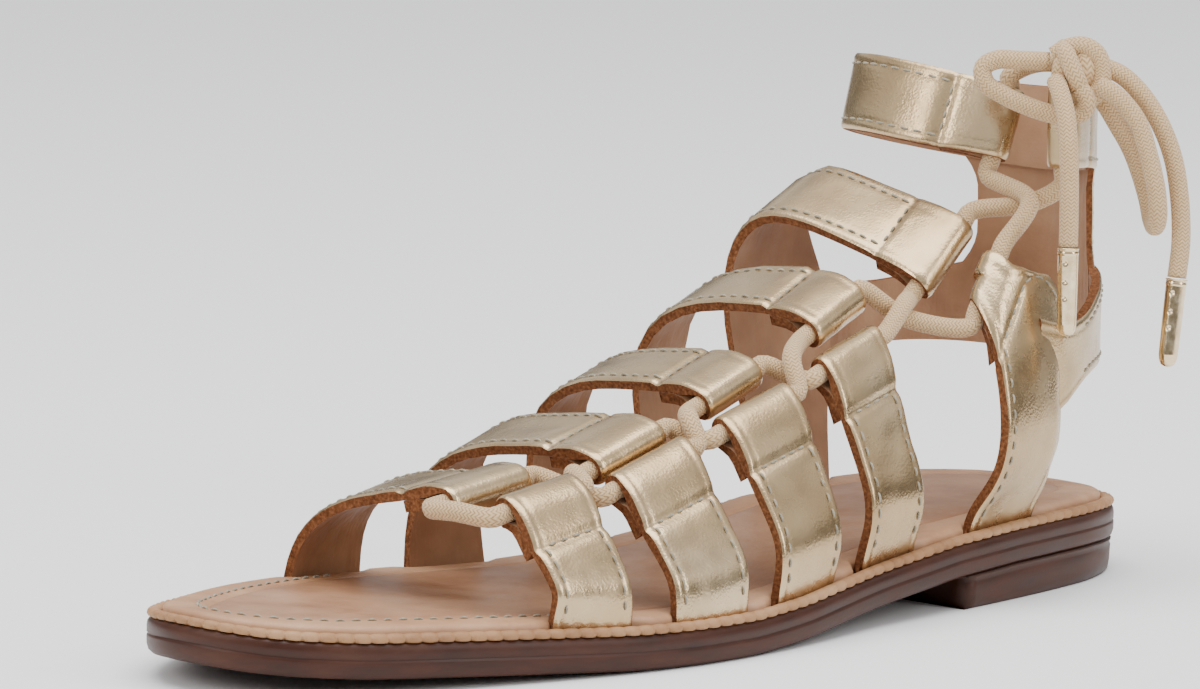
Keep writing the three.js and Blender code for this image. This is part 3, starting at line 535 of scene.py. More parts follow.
def side_path(side, y):
    """Polyline up one side of the last at y, from the sole to the lace line, with its lengths."""
    key = (side, round(y, 2))
    if key in PATHS:
        return PATHS[key]
    i = row_before(LAST_ROWS, 0, y)
    a, b = LAST_ROWS[i], LAST_ROWS[i + 1]
    s = (y - a[0]) / (b[0] - a[0])
    angle = math.acos(1 - 2 * clamp(share_at(y)))
    out, inn = column(SOLE_KEYED, 0, 1, angle) - 3, 3 - column(SOLE_KEYED, 0, 2, angle)
    floor = top_at(y) + 0.3
    control = [Vector((out, y, floor)), Vector((out, y, floor + 2.6))]
    control += [Vector((lerp(a[c][0], b[c][0], s), y, lerp(a[c][1], b[c][1], s))) for c in range(1, 8)]
    control += [Vector((inn, y, floor + 2.6)), Vector((inn, y, floor))]
    start, end = (0.0, 0.4) if side == "out" else (1.0, 0.5)
    line = [spline(control, lerp(start, end, k / 40)) for k in range(41)]
    PATHS[key] = (line, running(line))
    return PATHS[key]


def along_path(path, mm):
    line, lengths = path
    k, s = locate(lengths, mm)
    return line[k - 1].lerp(line[k], s)


FLAP = (1.2, 3, 5, 7, 9.2, 11.2)
NEAR = (13, 12.3, 11.7, 11.2, 10.6, 9.9, 9.2, 8.1, 7, 5, 3, 1.2, 0)
EDGE_MM = (0, 0.25, 0.8, 1.5, 2.0, 2.5, 3.3)


def stations(width, inner):
    """Places across a strap as shares of its width: close together near both edges."""
    first = [mm / width for mm in EDGE_MM]
    last = [1 - s for s in reversed(first)]
    between = [lerp(first[-1], last[0], k / (inner + 1)) for k in range(1, inner + 1)]
    return first + between + last


def edge_mm(j, count):
    """Distance in mm from the nearer edge of station j, or None well inside."""
    k = min(j, count - 1 - j)
    return EDGE_MM[k] if k < len(EDGE_MM) else None


def upright_grid(side, edges, lower, inner):
    """Outer face of a strap: rows from the sole to the lace line, stations from front to rear."""
    f1, r1 = edges(1.0)
    length = side_path(side, (f1 + r1) / 2)[1][-1]
    rows = [("low", k / lower) for k in range(lower)] + [("near", d) for d in NEAR]
    grid, away = [], []
    for kind, value in rows:
        rise = value * (length - NEAR_LENGTH) if kind == "low" else length - value
        front, rear = edges(clamp(rise / length))
        line = []
        for s in stations(rear - front, inner):
            path = side_path(side, lerp(front, rear, s))
            total = path[1][-1]
            line.append(along_path(path, (total - NEAR_LENGTH) * value if kind == "low" else total - value))
        grid.append(line)
        away.append(length - rise)
    for _ in range(7):
        grid = [[(a + p * 2 + b) / 4 for a, p, b in zip(grid[i - 1], line, grid[i + 1])]
                if 0 < i < lower else line
                for i, line in enumerate(grid)]
    return grid, away


def normals_of(grid, inside):
    """Unit normals of a grid, pointing away from the point inside(p) gives."""
    rows, cols = len(grid), len(grid[0])
    out = []
    for i in range(rows):
        line = []
        for j in range(cols):
            a = grid[min(i + 1, rows - 1)][j] - grid[max(i - 1, 0)][j]
            b = grid[i][min(j + 1, cols - 1)] - grid[i][max(j - 1, 0)]
            line.append(a.cross(b).normalized())
        out.append(line)
    i, j = rows // 2, cols // 2
    if out[i][j].dot(grid[i][j] - inside(grid[i][j])) < 0:
        out = [[-n for n in line] for line in out]
    return out


def wobble(p, scale, seed=0.0):
    return noise_field.noise(Vector((p.x * scale + seed, p.y * scale, p.z * scale)))


def leather(name, grid, normals, away_start, away_end, nodes, wall=WALL, relief=None, lining_relief=None,
            sunk=0.0):
    """Leather sheet along the grid's rows, folded back under itself round the lace where away_start
    or away_end gives each row's distance from the fold. nodes: the CAD nodes that it replaces. Returns
    the outer points of every row and the number of the grid's first row among them."""
    rows, cols = len(grid), len(grid[0])
    ribbon = []

    def face_pair(i):
        outer, inner = [], []
        for j in range(cols):
            mm = edge_mm(j, cols)
            rounding = 0 if mm is None else 0.42 * max(0, 1 - mm / 0.8) ** 2 + 0.13 * bell(mm, 2.0, 0.4)
            p = grid[i][j]
            deep = rounding + sunk + 0.14 * wobble(p, 0.13) + 0.06 * wobble(p, 0.4, 5)
            if relief:
                deep += relief(i, j, p)
            thick = wall
            for away in (away_start, away_end):
                if away:
                    thick = min(thick, lerp(FOLD_R - BORE_R, wall, smooth(away[i] / 5.5)))
            back = sunk + thick + (lining_relief(i, j, p) if lining_relief else 0)
            outer.append(p - normals[i][j] * deep)
            inner.append(p - normals[i][j] * back)
        return outer, inner

    def fold(i, step, away):
        """Rows round the lace past row i and back along the flap, in running order."""
        lines = []
        for k in range(1, 10):
            a = math.pi * k / 9
            outer, inner = [], []
            for j in range(cols):
                mm = edge_mm(j, cols)
                rounding = 0 if mm is None else 0.35 * max(0, 1 - mm / 0.8) ** 2
                n = normals[i][j]
                t = (grid[i][j] - grid[i + step][j]).normalized()
                t = (t - n * t.dot(n)).normalized()
                centre = grid[i][j] - n * FOLD_R
                ray = t * math.sin(a) + n * math.cos(a)
                outer.append(centre + ray * (FOLD_R - rounding + 0.08 * wobble(grid[i][j], 0.3)))
                inner.append(centre + ray * BORE_R)
            lines.append((outer, inner))
        for d in FLAP:
            k = next(r for r in (range(i, -1, -1) if step < 0 else range(i, rows)) if away[r] >= d - 1e-6)
            s = smooth(d / 6.5)
            low, high = lerp(2 * FOLD_R, wall * 2 + 0.1, s), lerp(FOLD_R + BORE_R, wall + 0.06, s)
            lines.append(([grid[k][j] - normals[k][j] * low for j in range(cols)],
                          [grid[k][j] - normals[k][j] * high for j in range(cols)]))
        return lines

    if away_start:
        ribbon += list(reversed(fold(0, 1, away_start)))
    first = len(ribbon)
    ribbon += [face_pair(i) for i in range(rows)]
    if away_end:
        ribbon += fold(rows - 1, -1, away_end)
    count = len(ribbon)
    vertices, faces, kinds = [], [], []
    for outer, inner in ribbon:
        vertices += outer + inner
        for j, side in ((0, 1), (cols - 1, cols - 2)):
            mid = (outer[j] + inner[j]) / 2
            vertices.append(mid + (outer[side] - outer[j]).normalized() * 0.16)
    size = 2 * cols + 2
    for m in range(count - 1):
        a, b = m * size, (m + 1) * size
        for j in range(cols - 1):
            faces.append((a + j, a + j + 1, b + j + 1, b + j))
            faces.append((a + cols + j, b + cols + j, b + cols + j + 1, a + cols + j + 1))
            kinds += [0, 2]
        for j, mid in ((0, 2 * cols), (cols - 1, 2 * cols + 1)):
            faces += [(a + j, b + j, b + mid, a + mid), (a + mid, b + mid, b + cols + j, a + cols + j)]
            kinds += [1, 1]
    for m in (0, count - 1):
        a = m * size
        for j in range(cols - 1):
            faces.append((a + j, a + j + 1, a + cols + j + 1, a + cols + j))
            kinds.append(1)
        for j, mid in ((0, 2 * cols), (cols - 1, 2 * cols + 1)):
            faces.append((a + j, a + mid, a + cols + j))
            kinds.append(1)
    ride(new_object(name, vertices, faces, [METAL, EDGE, LINING], kinds), "strap_leather", *nodes)
    return [pair[0] for pair in ribbon], first


# ------------------------------------------------------------------ stitches
class Stitches:
    def __init__(self):
        self.vertices, self.faces = [], []

    def one(self, p, along, out, length=2.0, radius=0.24):
        side = along.cross(out).normalized()
        base = len(self.vertices)
        rings = ((-0.5, 0.35, -0.28), (-0.42, 0.85, -0.06), (-0.15, 1.0, 0.1),
                 (0.15, 1.0, 0.1), (0.42, 0.85, -0.06), (0.5, 0.35, -0.28))
        for at, wide, lift in rings:
            self.vertices += circle(p + along * (at * length) + out * lift, side, out, radius * wide, 6)
        self.faces += ring_quads(len(rings), 6, base)
        self.faces.append(tuple(base + k for k in range(5, -1, -1)))
        self.faces.append(tuple(base + (len(rings) - 1) * 6 + k for k in range(6)))

    def line(self, points, normals, pitch=3.0, start=1.2, end=1.2, length=2.0):
        lengths = running(points)
        total = lengths[-1]
        count = max(1, round((total - start - end) / pitch))
        for n in range(count):
            at = start + (total - start - end) * (n + 0.5) / count
            k, s = locate(lengths, at)
            p = points[k - 1].lerp(points[k], s)
            out = normals[k - 1].lerp(normals[k], s).normalized()
            along = (points[k] - points[k - 1]).normalized()
            lean = random.uniform(-0.05, 0.05)
            along = (along + along.cross(out) * lean).normalized()
            self.one(p + out * 0.12, along, out, length * random.uniform(0.92, 1.05))

    def build(self, name, slot):
        ride(new_object(name, self.vertices, self.faces, [THREAD], sharp=False), slot)


class Sheet:
    """Leather sheet over a grid, with the stitches that follow its edges."""

    def __init__(self, name, grid, inside, away_start=None, away_end=None, nodes=(), **shape):
        self.grid, self.cols = grid, len(grid[0])
        self.normals = normals_of(grid, inside)
        self.outer, self.first = leather(name, grid, self.normals, away_start, away_end, nodes, **shape)

    def sew_edge(self, column_index, rows, **run):
        stitches.line([self.outer[self.first + i][column_index] for i in rows],
                      [self.normals[i][column_index] for i in rows], **run)

    def sew_edges(self, rows, **run):
        for c in (STITCH_COLUMN, self.cols - 1 - STITCH_COLUMN):
            self.sew_edge(c, rows, **run)

    def sew_across(self, row):
        inner = range(STITCH_COLUMN + 1, self.cols - 1 - STITCH_COLUMN)
        stitches.line([self.outer[self.first + row][j] for j in inner], [self.normals[row][j] for j in inner],
                      pitch=2.7, start=0.2, end=0.2, length=1.8)


def cross_row(away):
    return next(k for k, d in enumerate(away) if d <= CROSS_STITCH + 0.1)


# ------------------------------------------------------------------ straps
def inside_foot(p):
    return Vector((0, p.y, 18))


# strap: creases as (distance from the lace line, its slope across, width, depth)
CREASES = {
    "strap_lateral_4": [(19, 0.35, 0.5, 0.28), (24.5, -0.2, 0.45, 0.2)],
    "strap_lateral_3": [(17.5, 0.25, 0.5, 0.2)],
    "strap_lateral_1": [(16, -0.3, 0.45, 0.16)],
    "strap_medial_2": [(17, 0.3, 0.5, 0.2)],
    "strap_medial_4": [(18, 0.2, 0.6, 0.24)],
}


def strap_relief(name, away, cols):
    marks = CREASES.get(name, [])

    def relief(i, j, p):
        d = away[i]
        across = (j / (cols - 1) - 0.5) * 18
        deep = 0.62 * bell(d, CROSS_STITCH, 1.15) - 0.42 * bell(d, 4.5, 3.6) - 0.2 * bell(d, 15.0, 2.4)
        for at, slope, width, depth in marks:
            line = d - at - slope * across
            deep += depth * (bell(line, 0, width) - 0.5 * bell(line, 1.6, 0.9)) * (1 - (across / 11) ** 2)
        return deep

    return relief


stitches = Stitches()
for pair, (out_front, out_rear, in_front, in_rear) in STRAP_PAIRS.items():
    for side, front, rear in (("out", out_front, out_rear), ("in", in_front, in_rear)):
        name = f"strap_{'lateral' if side == 'out' else 'medial'}_{pair}"
        grid, away = upright_grid(side, lambda h, f=front, r=rear: (f, r), 14, 9)
        relief = strap_relief(name, away, len(grid[0]))
        sheet = Sheet(f"leather_{name}", grid, inside_foot, away_end=away, nodes=(name,), relief=relief)
        row = cross_row(away)
        sheet.sew_edges(range(1, row + 1), start=2.2, end=0.2)
        sheet.sew_across(row)


# ------------------------------------------------------------------ heel cuff
class PlanWall:
    def __init__(self, rows, centre_row):
        control = [Vector((r[0], r[1], 0)) for r in rows]
        self.points = [spline(control, k / 240) for k in range(241)]
        self.lengths = running(self.points)
        at = [self.lengths[round(i / (len(rows) - 1) * 240)] for i in range(len(rows))]
        self.centre = at[centre_row]
        self.rows = [(a - self.centre, *r[2:]) for a, r in zip(at, rows)]
        self.start, self.end = -self.centre, self.lengths[-1] - self.centre

    def point(self, around):
        k, s = locate(self.lengths, around + self.centre)
        return self.points[k - 1].lerp(self.points[k], s)

    def col(self, c, around):
        return column(self.rows, 0, c, around)


ankle = PlanWall(ANKLE_ROWS, 8)
heel = PlanWall(HEEL_ROWS, 6)


def ankle_point(around, z):
    p = ankle.point(around)
    return Vector((p.x, p.y + ankle.col(1, around) * (z - ANKLE_Z), z))


def heel_point(around, z):
    p = heel.point(around)
    return Vector((p.x, p.y, z))


def panel_point(around, z):
    return heel_point(around, z).lerp(ankle_point(around, z), clamp((z - HEEL_Z) / (ANKLE_Z - HEEL_Z)))


def inside_heel(p):
    return Vector((2, 88, p.z))


def band_grid(face, wall, low, step, folded):
    """Face of a band round the heel, rows along it. low: the wall's column of the lower edge, with the
    upper edge's next to it; folded: rows close together near both ends."""
    start, end = wall.start, wall.end
    if folded:
        count = round((end - start - 2 * NEAR_LENGTH) / step)
        middle = [lerp(start + NEAR_LENGTH, end - NEAR_LENGTH, k / count) for k in range(1, count)]
        rows = [start + d for d in reversed(NEAR)] + middle + [end - d for d in NEAR]
    else:
        count = round((end - start) / step)
        rows = [lerp(start, end, k / count) for k in range(count + 1)]
    grid = []
    for around in rows:
        a, b = wall.col(low, around), wall.col(low + 1, around)
        grid.append([face(around, lerp(a, b, s)) for s in stations(b - a, 6)])
    return grid, rows


def table_edges(table):
    return lambda h: (column(table, 0, 1, h), column(table, 0, 2, h))


def quarter(name, side, table, nodes=()):
    grid, away = upright_grid(side, table_edges(table), 26, 13)
    cols = len(grid[0])
    height = max(away)

    def relief(i, j, p):
        h = 1 - away[i] / height
        under_band = smooth((h - 0.1) / 0.1) * smooth((0.68 - h) / 0.06)
        fold = 0.35 * bell(away[i], CROSS_STITCH, 1.0) - 0.3 * bell(away[i], 4.5, 3.6)
        return fold + 1.1 * under_band * smooth((j / (cols - 1) - 0.72) / 0.22)

    sheet = Sheet(name, grid, inside_foot, away_end=away, nodes=nodes, relief=relief)
    row = cross_row(away)
    sheet.sew_edge(STITCH_COLUMN, range(1, row + 1), start=2, end=0.2)
    notch = [k for k in range(row + 1) if 1 - away[k] / height > 0.58]
    sheet.sew_edge(cols - 1 - STITCH_COLUMN, notch, start=0.4, end=0.2)
    sheet.sew_across(row)


quarter("cuff_quarter_out", "out", OUT_QUARTER, ("heel_cuff",))
quarter("cuff_quarter_in", "in", IN_QUARTER)

grid, rows = band_grid(ankle_point, ankle, 2, 2.6, True)
from_start = [r - ankle.start for r in rows]
from_end = [ankle.end - r for r in rows]


def ankle_relief(i, j, p):
    deep = 0.0
    for d in (from_start[i], from_end[i]):
        deep += 0.55 * bell(d, CROSS_STITCH, 1.15) - 0.35 * bell(d, 4.5, 3.4)
    return deep


def wrinkles(i, j, p):
    return 0.28 * wobble(Vector((p.x, p.y, p.z * 0.2)), 0.35, 3)


sheet = Sheet("cuff_ankle_strap", grid, inside_heel, from_start, from_end, relief=ankle_relief,
              lining_relief=wrinkles)
fold_clear = CROSS_STITCH - 0.1
unfolded = [k for k in range(len(grid)) if min(from_start[k], from_end[k]) >= fold_clear]
sheet.sew_edges(unfolded, start=0.2, end=0.2)
sheet.sew_across(next(k for k in range(len(grid)) if from_start[k] >= fold_clear))
sheet.sew_across(cross_row(from_end))

grid, rows = band_grid(heel_point, heel, 1, 3, False)
sheet = Sheet("cuff_heel_band", grid, inside_heel, lining_relief=wrinkles, sunk=-0.12,
              relief=lambda i, j, p: 1.5 * smooth((abs(rows[i]) - (heel.end - 8)) / 7))
seen = [k for k, a in enumerate(rows) if heel.start + 16 < a < heel.end - 12]
sheet.sew_edge(STITCH_COLUMN, seen)
sheet.sew_edge(sheet.cols - 1 - STITCH_COLUMN, [k for k in seen if rows[k] < -22])
sheet.sew_edge(sheet.cols - 1 - STITCH_COLUMN, [k for k in seen if rows[k] > 22])


def panel_reach(z):
    """Widening of the heel panel towards the band below and the ankle strap above."""
    return 1 + 0.28 * (max(0, 1 - abs(z - 58) / 9) ** 2 + max(0, 1 - abs(z - 84) / 9) ** 2)


PANEL_HALF = 17.5
heights = [lerp(48, 92, k / 22) for k in range(23)]
across = [lerp(-PANEL_HALF, PANEL_HALF, s) for s in stations(2 * PANEL_HALF, 12)]
grid = [[panel_point(a * panel_reach(z), z) for a in across] for z in heights]
sheet = Sheet("cuff_heel_panel", grid, inside_heel, wall=WALL - 0.5, lining_relief=wrinkles, sunk=0.3)
sheet.sew_edges([k for k, z in enumerate(heights) if 60 < z < 81], start=0.2, end=0.2)

BACKSTAY_HALF = 4.2
heights = [lerp(43.5, 80.5, k / 22) for k in range(23)]
grid = [[panel_point(lerp(-BACKSTAY_HALF, BACKSTAY_HALF, s), z) for s in stations(2 * BACKSTAY_HALF, 2)]
        for z in heights]
middle_station = (len(grid[0]) - 1) / 2
sheet = Sheet("cuff_backstay", grid, inside_heel, wall=1.6, sunk=-0.85,
              relief=lambda i, j, p: -0.25 * bell(j, middle_station, 1.2))
sheet.sew_edges(range(len(grid)))
stitches.build("strap_stitches", "strap_leather")


# ------------------------------------------------------------------ sole
def outline(angle):
    a = angle % (2 * math.pi)
    lateral = a <= math.pi
    a = a if lateral else 2 * math.pi - a
    x = column(SOLE_KEYED, 0, 1 if lateral else 2, a)
    return Vector((x if lateral else -x, SOLE_CENTRE_Y + SOLE_LENGTH / 2 * math.cos(a), 0))


def inset_point(angle, mm):
    t = (outline(angle + 2e-3) - outline(angle - 2e-3)).normalized()
    return outline(angle) + Vector((t.y, -t.x, 0)) * mm


def sole_body(name, levels, materials, kinds=None, half=130):
    """Rings round the sole from (inset(y, side), height(y)) levels, closed across at both ends."""
    count = 2 * half
    vertices = []
    for inset, height in levels:
        for k in range(count):
            angle = math.pi * k / half
            p = inset_point(angle, inset(outline(angle).y, k <= half) if callable(inset) else inset)
            vertices.append(Vector((p.x, p.y, height(p.y))))
    faces = ring_quads(len(levels), count)
    index = [kinds[m] if kinds else 0 for m in range(len(levels) - 1) for _ in range(count)]
    for m in (0, len(levels) - 1):
        for k in range(half):
            a, b = m * count + k, m * count + k + 1
            c, d = m * count + (count - k - 1) % count, m * count + (count - k) % count
            ring = list(dict.fromkeys((a, b, c, d)))
            if len(ring) >= 3:
                faces.append(tuple(ring))
                index.append(kinds[-1] if kinds and m else 0)
    return new_object(name, vertices, faces, materials, index)


def lift(base, mm):
    return lambda y: base(y) + mm


# inset from the outline, height above the underside
OUTSOLE_EDGE = [
    (15, 0), (3, 0), (1.1, 0.2), (0.35, 0.8), (0.05, 1.8), (0, 3.1), (0.04, 3.5), (0.26, 3.7),
    (0.26, 3.85), (0.04, 4.05), (0.02, 5.2), (0.16, 6.1), (0.5, 6.6), (1.1, 6.88), (2, 6.9), (15, 6.9),
]
outsole = sole_body("outsole_rubber", [(a, lift(bottom_at, b)) for a, b in OUTSOLE_EDGE], [RUBBER])
ride(outsole, "sole_rubber", "outsole")


def heel_block():
    breast = math.acos(1 - 2 * HEEL_SHARE)
    levels = ((2.2, lambda y: 0.0), (1.5, lambda y: 0.0), (1.0, lambda y: 0.5), (0.75, lambda y: 2.0),
              (0.6, lambda y: bottom_at(y) - 1.4), (0.85, lambda y: bottom_at(y) - 0.9),
              (0.55, lambda y: bottom_at(y) - 0.4), (0.5, lambda y: bottom_at(y) + 0.02))
    half, cross = 40, 10
    vertices = []
    for inset, height in levels:
        ring = [inset_point(lerp(-breast, breast, k / (2 * half)), inset) for k in range(2 * half + 1)]
        a, b = ring[-1], ring[0]
        ring += [a.lerp(b, k / (cross + 1)) + Vector((0, inset, 0)) for k in range(1, cross + 1)]
        vertices += [Vector((p.x, p.y, height(p.y))) for p in ring]
    count = 2 * half + 1 + cross
    faces = ring_quads(len(levels), count)
    for first in (0, (len(levels) - 1) * count):
        far = first + 2 * half
        faces += [tuple(dict.fromkeys((first + k, first + k + 1, far - k - 1, far - k))) for k in range(half)]
        faces.append((*range(far, far + cross + 1), first))
    return new_object("heel_rubber", vertices, faces, [RUBBER])


ride(heel_block(), "sole_rubber", "heel")


def scalloped_welt():
    dense = [outline(2 * math.pi * k / 2400) for k in range(2401)]
    lengths = running(dense)
    scallops = round(lengths[-1] / WELT_PITCH)
    vertices, faces = [], []
    k = 1
    for n in range(scallops * WELT_STEPS):
        at = lengths[-1] * n / (scallops * WELT_STEPS)
        while lengths[k] < at:
            k += 1
        angle = 2 * math.pi * (k - 1 + (at - lengths[k - 1]) / (lengths[k] - lengths[k - 1])) / 2400
        swell = abs(math.sin(math.pi * n / WELT_STEPS)) ** 0.55
        rim = 0.75 - 0.75 * swell
        for inset, height in (
            (rim + 0.35, 0.02), (rim, 0.55), (rim + 0.15, 1.0 + 0.2 * swell),
            (rim + 0.7, 1.3 + 0.35 * swell), (1.9, 1.45 + 0.2 * swell), (2.7, 1.3), (2.9, 0.02),
        ):
            p = inset_point(angle, inset)
            vertices.append(Vector((p.x, p.y, top_at(p.y) + height)))
    rings = scallops * WELT_STEPS
    for n in range(rings):
        for j in range(7):
            a, b = n * 7 + j, n * 7 + (j + 1) % 7
            c, d = ((n + 1) % rings) * 7 + (j + 1) % 7, ((n + 1) % rings) * 7 + j
            faces.append((a, b, c, d))
    return new_object("welt_scalloped", vertices, faces, [WELT])


ride(scalloped_welt(), "welt_strip", "welt")


def strap_room(y, lateral):
    """How far the footbed's edge is pressed in beside a strap's foot."""
    room = 0.0
    spans = [(r[0], r[1]) if lateral else (r[2], r[3]) for r in STRAP_PAIRS.values()]
    spans.append((57.7, 79.2) if lateral else (57, 79))
    for front, rear in spans:
        room = max(room, smooth((y - front + 2.2) / 2) * smooth((rear + 2.2 - y) / 2))
    return room


def bed_inset(mm, hold):
    return lambda y, lateral: mm + 2.5 * hold * strap_room(y, lateral)


# inset and height above the outsole, first where the straps press the edge in, then inside it
BED_EDGE = [
    (3.0, 0.04, 1), (2.9, 0.9, 1), (2.95, 1.8, 1), (3.3, 2.4, 1), (4.0, 2.75, 1), (5.2, 2.9, 0.8),
    (7.2, 2.92, 0.5),
]
BED_TOP = [
    (10.0, 2.86), (10.7, 2.78), (11.1, 2.5), (11.4, 2.38), (11.7, 2.5), (12.2, 2.74), (13.4, 2.8), (16, 2.8),
    (19, 2.78),
]
bed_levels = [(bed_inset(a, hold), lift(top_at, b)) for a, b, hold in BED_EDGE]
bed_levels += [(a, lift(top_at, b)) for a, b in BED_TOP]
bed = sole_body("footbed_leather", bed_levels, [BED, BED_INNER], [0] * 10 + [1] * 6)
ride(bed, "footbed_leather", "insole")

bed_stitches = Stitches()
line = [inset_point(math.pi * (1 + s / 100), 9.3) for s in range(-34, 35)]
for p in line:
    p.z = top_at(p.y) + 2.88
bed_stitches.line(line, [Vector((0, 0, 1))] * len(line), pitch=3.1, start=0, end=0)
bed_stitches.build("footbed_stitches", "footbed_leather")


# ------------------------------------------------------------------ lace through the tunnels
def bore_centre(p, a, b, inside):
    """Centre of a tunnel under the face point p, with a and b along the face."""
    n = a.cross(b).normalized()
    if n.dot(p - inside(p)) < 0:
        n = -n
    return p - n * FOLD_R


def past_mouth(bore, share, past):
    """Point past mm outside the mouth nearer to share, or the tunnel's centre at share."""
    here = bore(share)
    if past:
        near, far = (1.0, 0.0) if share > 0.5 else (0.0, 1.0)
        here += (bore(near) - bore(far)).normalized() * past
    return here


def strap_mouth(side, edges, share, past):
    front, rear = edges(1.0)

    def face(y, back=0.0):
        path = side_path(side, y)
        return along_path(path, path[1][-1] - back)

    def bore(s):
        y = lerp(front, rear, s)
        return bore_centre(face(y), face(y) - face(y, 0.05), face(y + 0.05) - face(y - 0.05), inside_foot)

    return past_mouth(bore, share, past)


def ankle_mouth(around, share, past):
    low, high = ankle.col(2, around), ankle.col(3, around)
    step = 0.05 if around < 0 else -0.05

    def bore(s):
        z = lerp(low, high, s)
        p = ankle_point(around, z)
        return bore_centre(p, p - ankle_point(around + step, z),
                           ankle_point(around, z + 0.05) - ankle_point(around, z - 0.05), inside_heel)

    return past_mouth(bore, share, past)


def mouth(name, share, past=0.0):
    side, pair = name[:-1], int(name[-1])
    if pair == 6:
        return ankle_mouth(ankle.end if side == "out" else ankle.start, share, past)
    if pair == 5:
        return strap_mouth(side, table_edges(OUT_QUARTER if side == "out" else IN_QUARTER), share, past)
    row = STRAP_PAIRS[pair]
    front, rear = row[:2] if side == "out" else row[2:]
    return strap_mouth(side, lambda h: (front, rear), share, past)


RUN = 3.4
# pair: shift of the crossing from the middle of its mouths, step to the upper strand's middle
CROSSING_AT = {
    1: ((0, 0, 0.3), (0.2, -0.4, 1.4)),
    2: ((0, 0, 0.3), (0.2, -0.4, 1.4)),
    3: ((0, 0, 0.3), (0.2, -0.4, 1.4)),
    4: ((0, 0, 0.3), (0.3, -0.6, 1.3)),
    5: ((3.4, 3.4, 0.4), (0.9, -1.2, 0.3)),
}


def crossing(pair, over):
    nxt = pair + 1
    four = [mouth(f"out{pair}", 1, RUN), mouth(f"in{pair}", 1, RUN)]
    four += [mouth(f"out{nxt}", 0, RUN), mouth(f"in{nxt}", 0, RUN)]
    shift, step = CROSSING_AT[pair]
    return sum(four, Vector()) / 4 + Vector(shift) + Vector(step) * (1.22 if over else -1.22)


def strand(first_side):
    """Route of one half of the lace from the front bar up to the ankle strap."""
    points, side = [], first_side
    for pair in range(1, 7):
        name = f"{side}{pair}"
        for share, past in ((0, RUN), (0, 0.4), (0.3, 0), (0.7, 0), (1, 0.4)):
            points.append(mouth(name, share, past))
        if pair < 6:
            points.append(mouth(name, 1, RUN))
            points.append(crossing(pair, side == "out"))
            side = "in" if side == "out" else "out"
    return points, side


half_a, end_a = strand("out")
half_b, end_b = strand("in")
bar = (mouth("in1", 0, RUN) + mouth("out1", 0, RUN)) / 2 + Vector((0, -1.2, 0.4))
KNOT = Vector((30.5, 88.5, 105.5))
TIE = [Vector((14.3, 87.2, 102.2)), Vector((16.5, 88.8, 104)), Vector((20.5, 89.4, 105.2)),
       Vector((25.6, 89.8, 105.4)), Vector((28.5, 89.2, 105.6))]
TOP_OUT = [Vector((30.2, 90.6, 103.6))]
a_tail, b_tail = (TIE if end_a == "in" else TOP_OUT), (TIE if end_b == "in" else TOP_OUT)
route = list(reversed(b_tail)) + list(reversed(half_b)) + [bar] + half_a + a_tail
lace_points = sampled(route, 1.1)
lace = tube("lace_through_straps", lace_points, CORD_R, BRAID)
ride(lace, "lace", "lace_bar", "lace_tie", *(f"lace_crossing_{k}" for k in range(1, 6)))

LOOP_FRONT = [
    (26.2, 85.4, 106), (22, 81, 106.2), (18.8, 78, 106.2), (17, 76, 104.6), (17.8, 76, 101.6),
    (20.6, 78, 99.4), (24, 80.8, 97.4), (27.8, 83.4, 96), (31.6, 85.8, 95.6), (34, 87.2, 96.6),
    (34.6, 87.2, 99), (33.4, 86.4, 101.2),
]
LOOP_SIDE = [
    (35.6, 89.6, 101.8), (38.4, 91, 100.2), (41.2, 92.4, 97.4), (43.4, 93.3, 94), (45.3, 93.9, 88.6),
    (47, 94.6, 81.6), (46.8, 95.6, 76.2), (44.4, 97.6, 73.8), (42, 99.4, 75), (40.5, 99.8, 79),
    (37.5, 98.4, 88), (35.2, 95.8, 94), (33.4, 93.8, 98.2), (31.6, 92.4, 101),
]
END_FRONT = [
    (29.8, 83.4, 102.6), (32.2, 82, 100.4), (35, 80.6, 96.4), (36.8, 79.5, 91), (37.7, 79, 84),
    (38.2, 78.6, 77), (38.3, 78.5, 70.6),
]
END_SIDE = [
    (33.8, 92.8, 105.2), (36.8, 95.2, 103.6), (40.2, 97.8, 99.6), (43.4, 99.7, 94), (45.8, 101, 87.4),
    (47.4, 101.4, 79.6), (48.4, 101, 71), (48.6, 99.8, 63.8),
]


def aglet(name, route):
    end, before = Vector(route[-1]), Vector(route[-2])
    down = (end - before).normalized()
    profile = [
        (0, 2.2), (0.15, 2.2), (0.25, 2.08), (0.7, 2.04), (0.85, 2.12), (1.2, 2.12), (1.4, 2.04),
        (9, 2.0), (15.2, 1.92), (16.4, 1.72), (17.1, 1.35), (17.45, 0.8), (17.6, 0),
    ]
    fine = []
    for (a, r), (b, q) in zip(profile, profile[1:]):
        steps = max(1, round((b - a) / 0.14))
        fine += [(lerp(a, b, k / steps), lerp(r, q, k / steps)) for k in range(steps)]
    fine.append(profile[-1])
    side = down.cross(Vector((0.69744, -0.70523, 0.12738))).normalized()
    front = side.cross(down).normalized()
    sides, vertices = 72, []
    for at, r in fine:
        for k in range(sides):
            a = 2 * math.pi * k / sides
            turn = a - 0.35 if a < math.pi else a - 0.35 - 2 * math.pi
            dent = sum(bell(math.hypot(turn * 2, at - d), 0, 0.33) for d in (2.9, 6.6, 9.9))
            rad = max(r - 0.2 * dent, 0)
            spoke = front * (rad * math.cos(a)), side * (rad * math.sin(a))
            vertices.append(end + down * (at + 0.3) + spoke[0] + spoke[1])
    faces = ring_quads(len(fine), sides)
    faces.append(tuple(range(sides)))
    return new_object(name, vertices, faces, [BRASS], sharp=False)


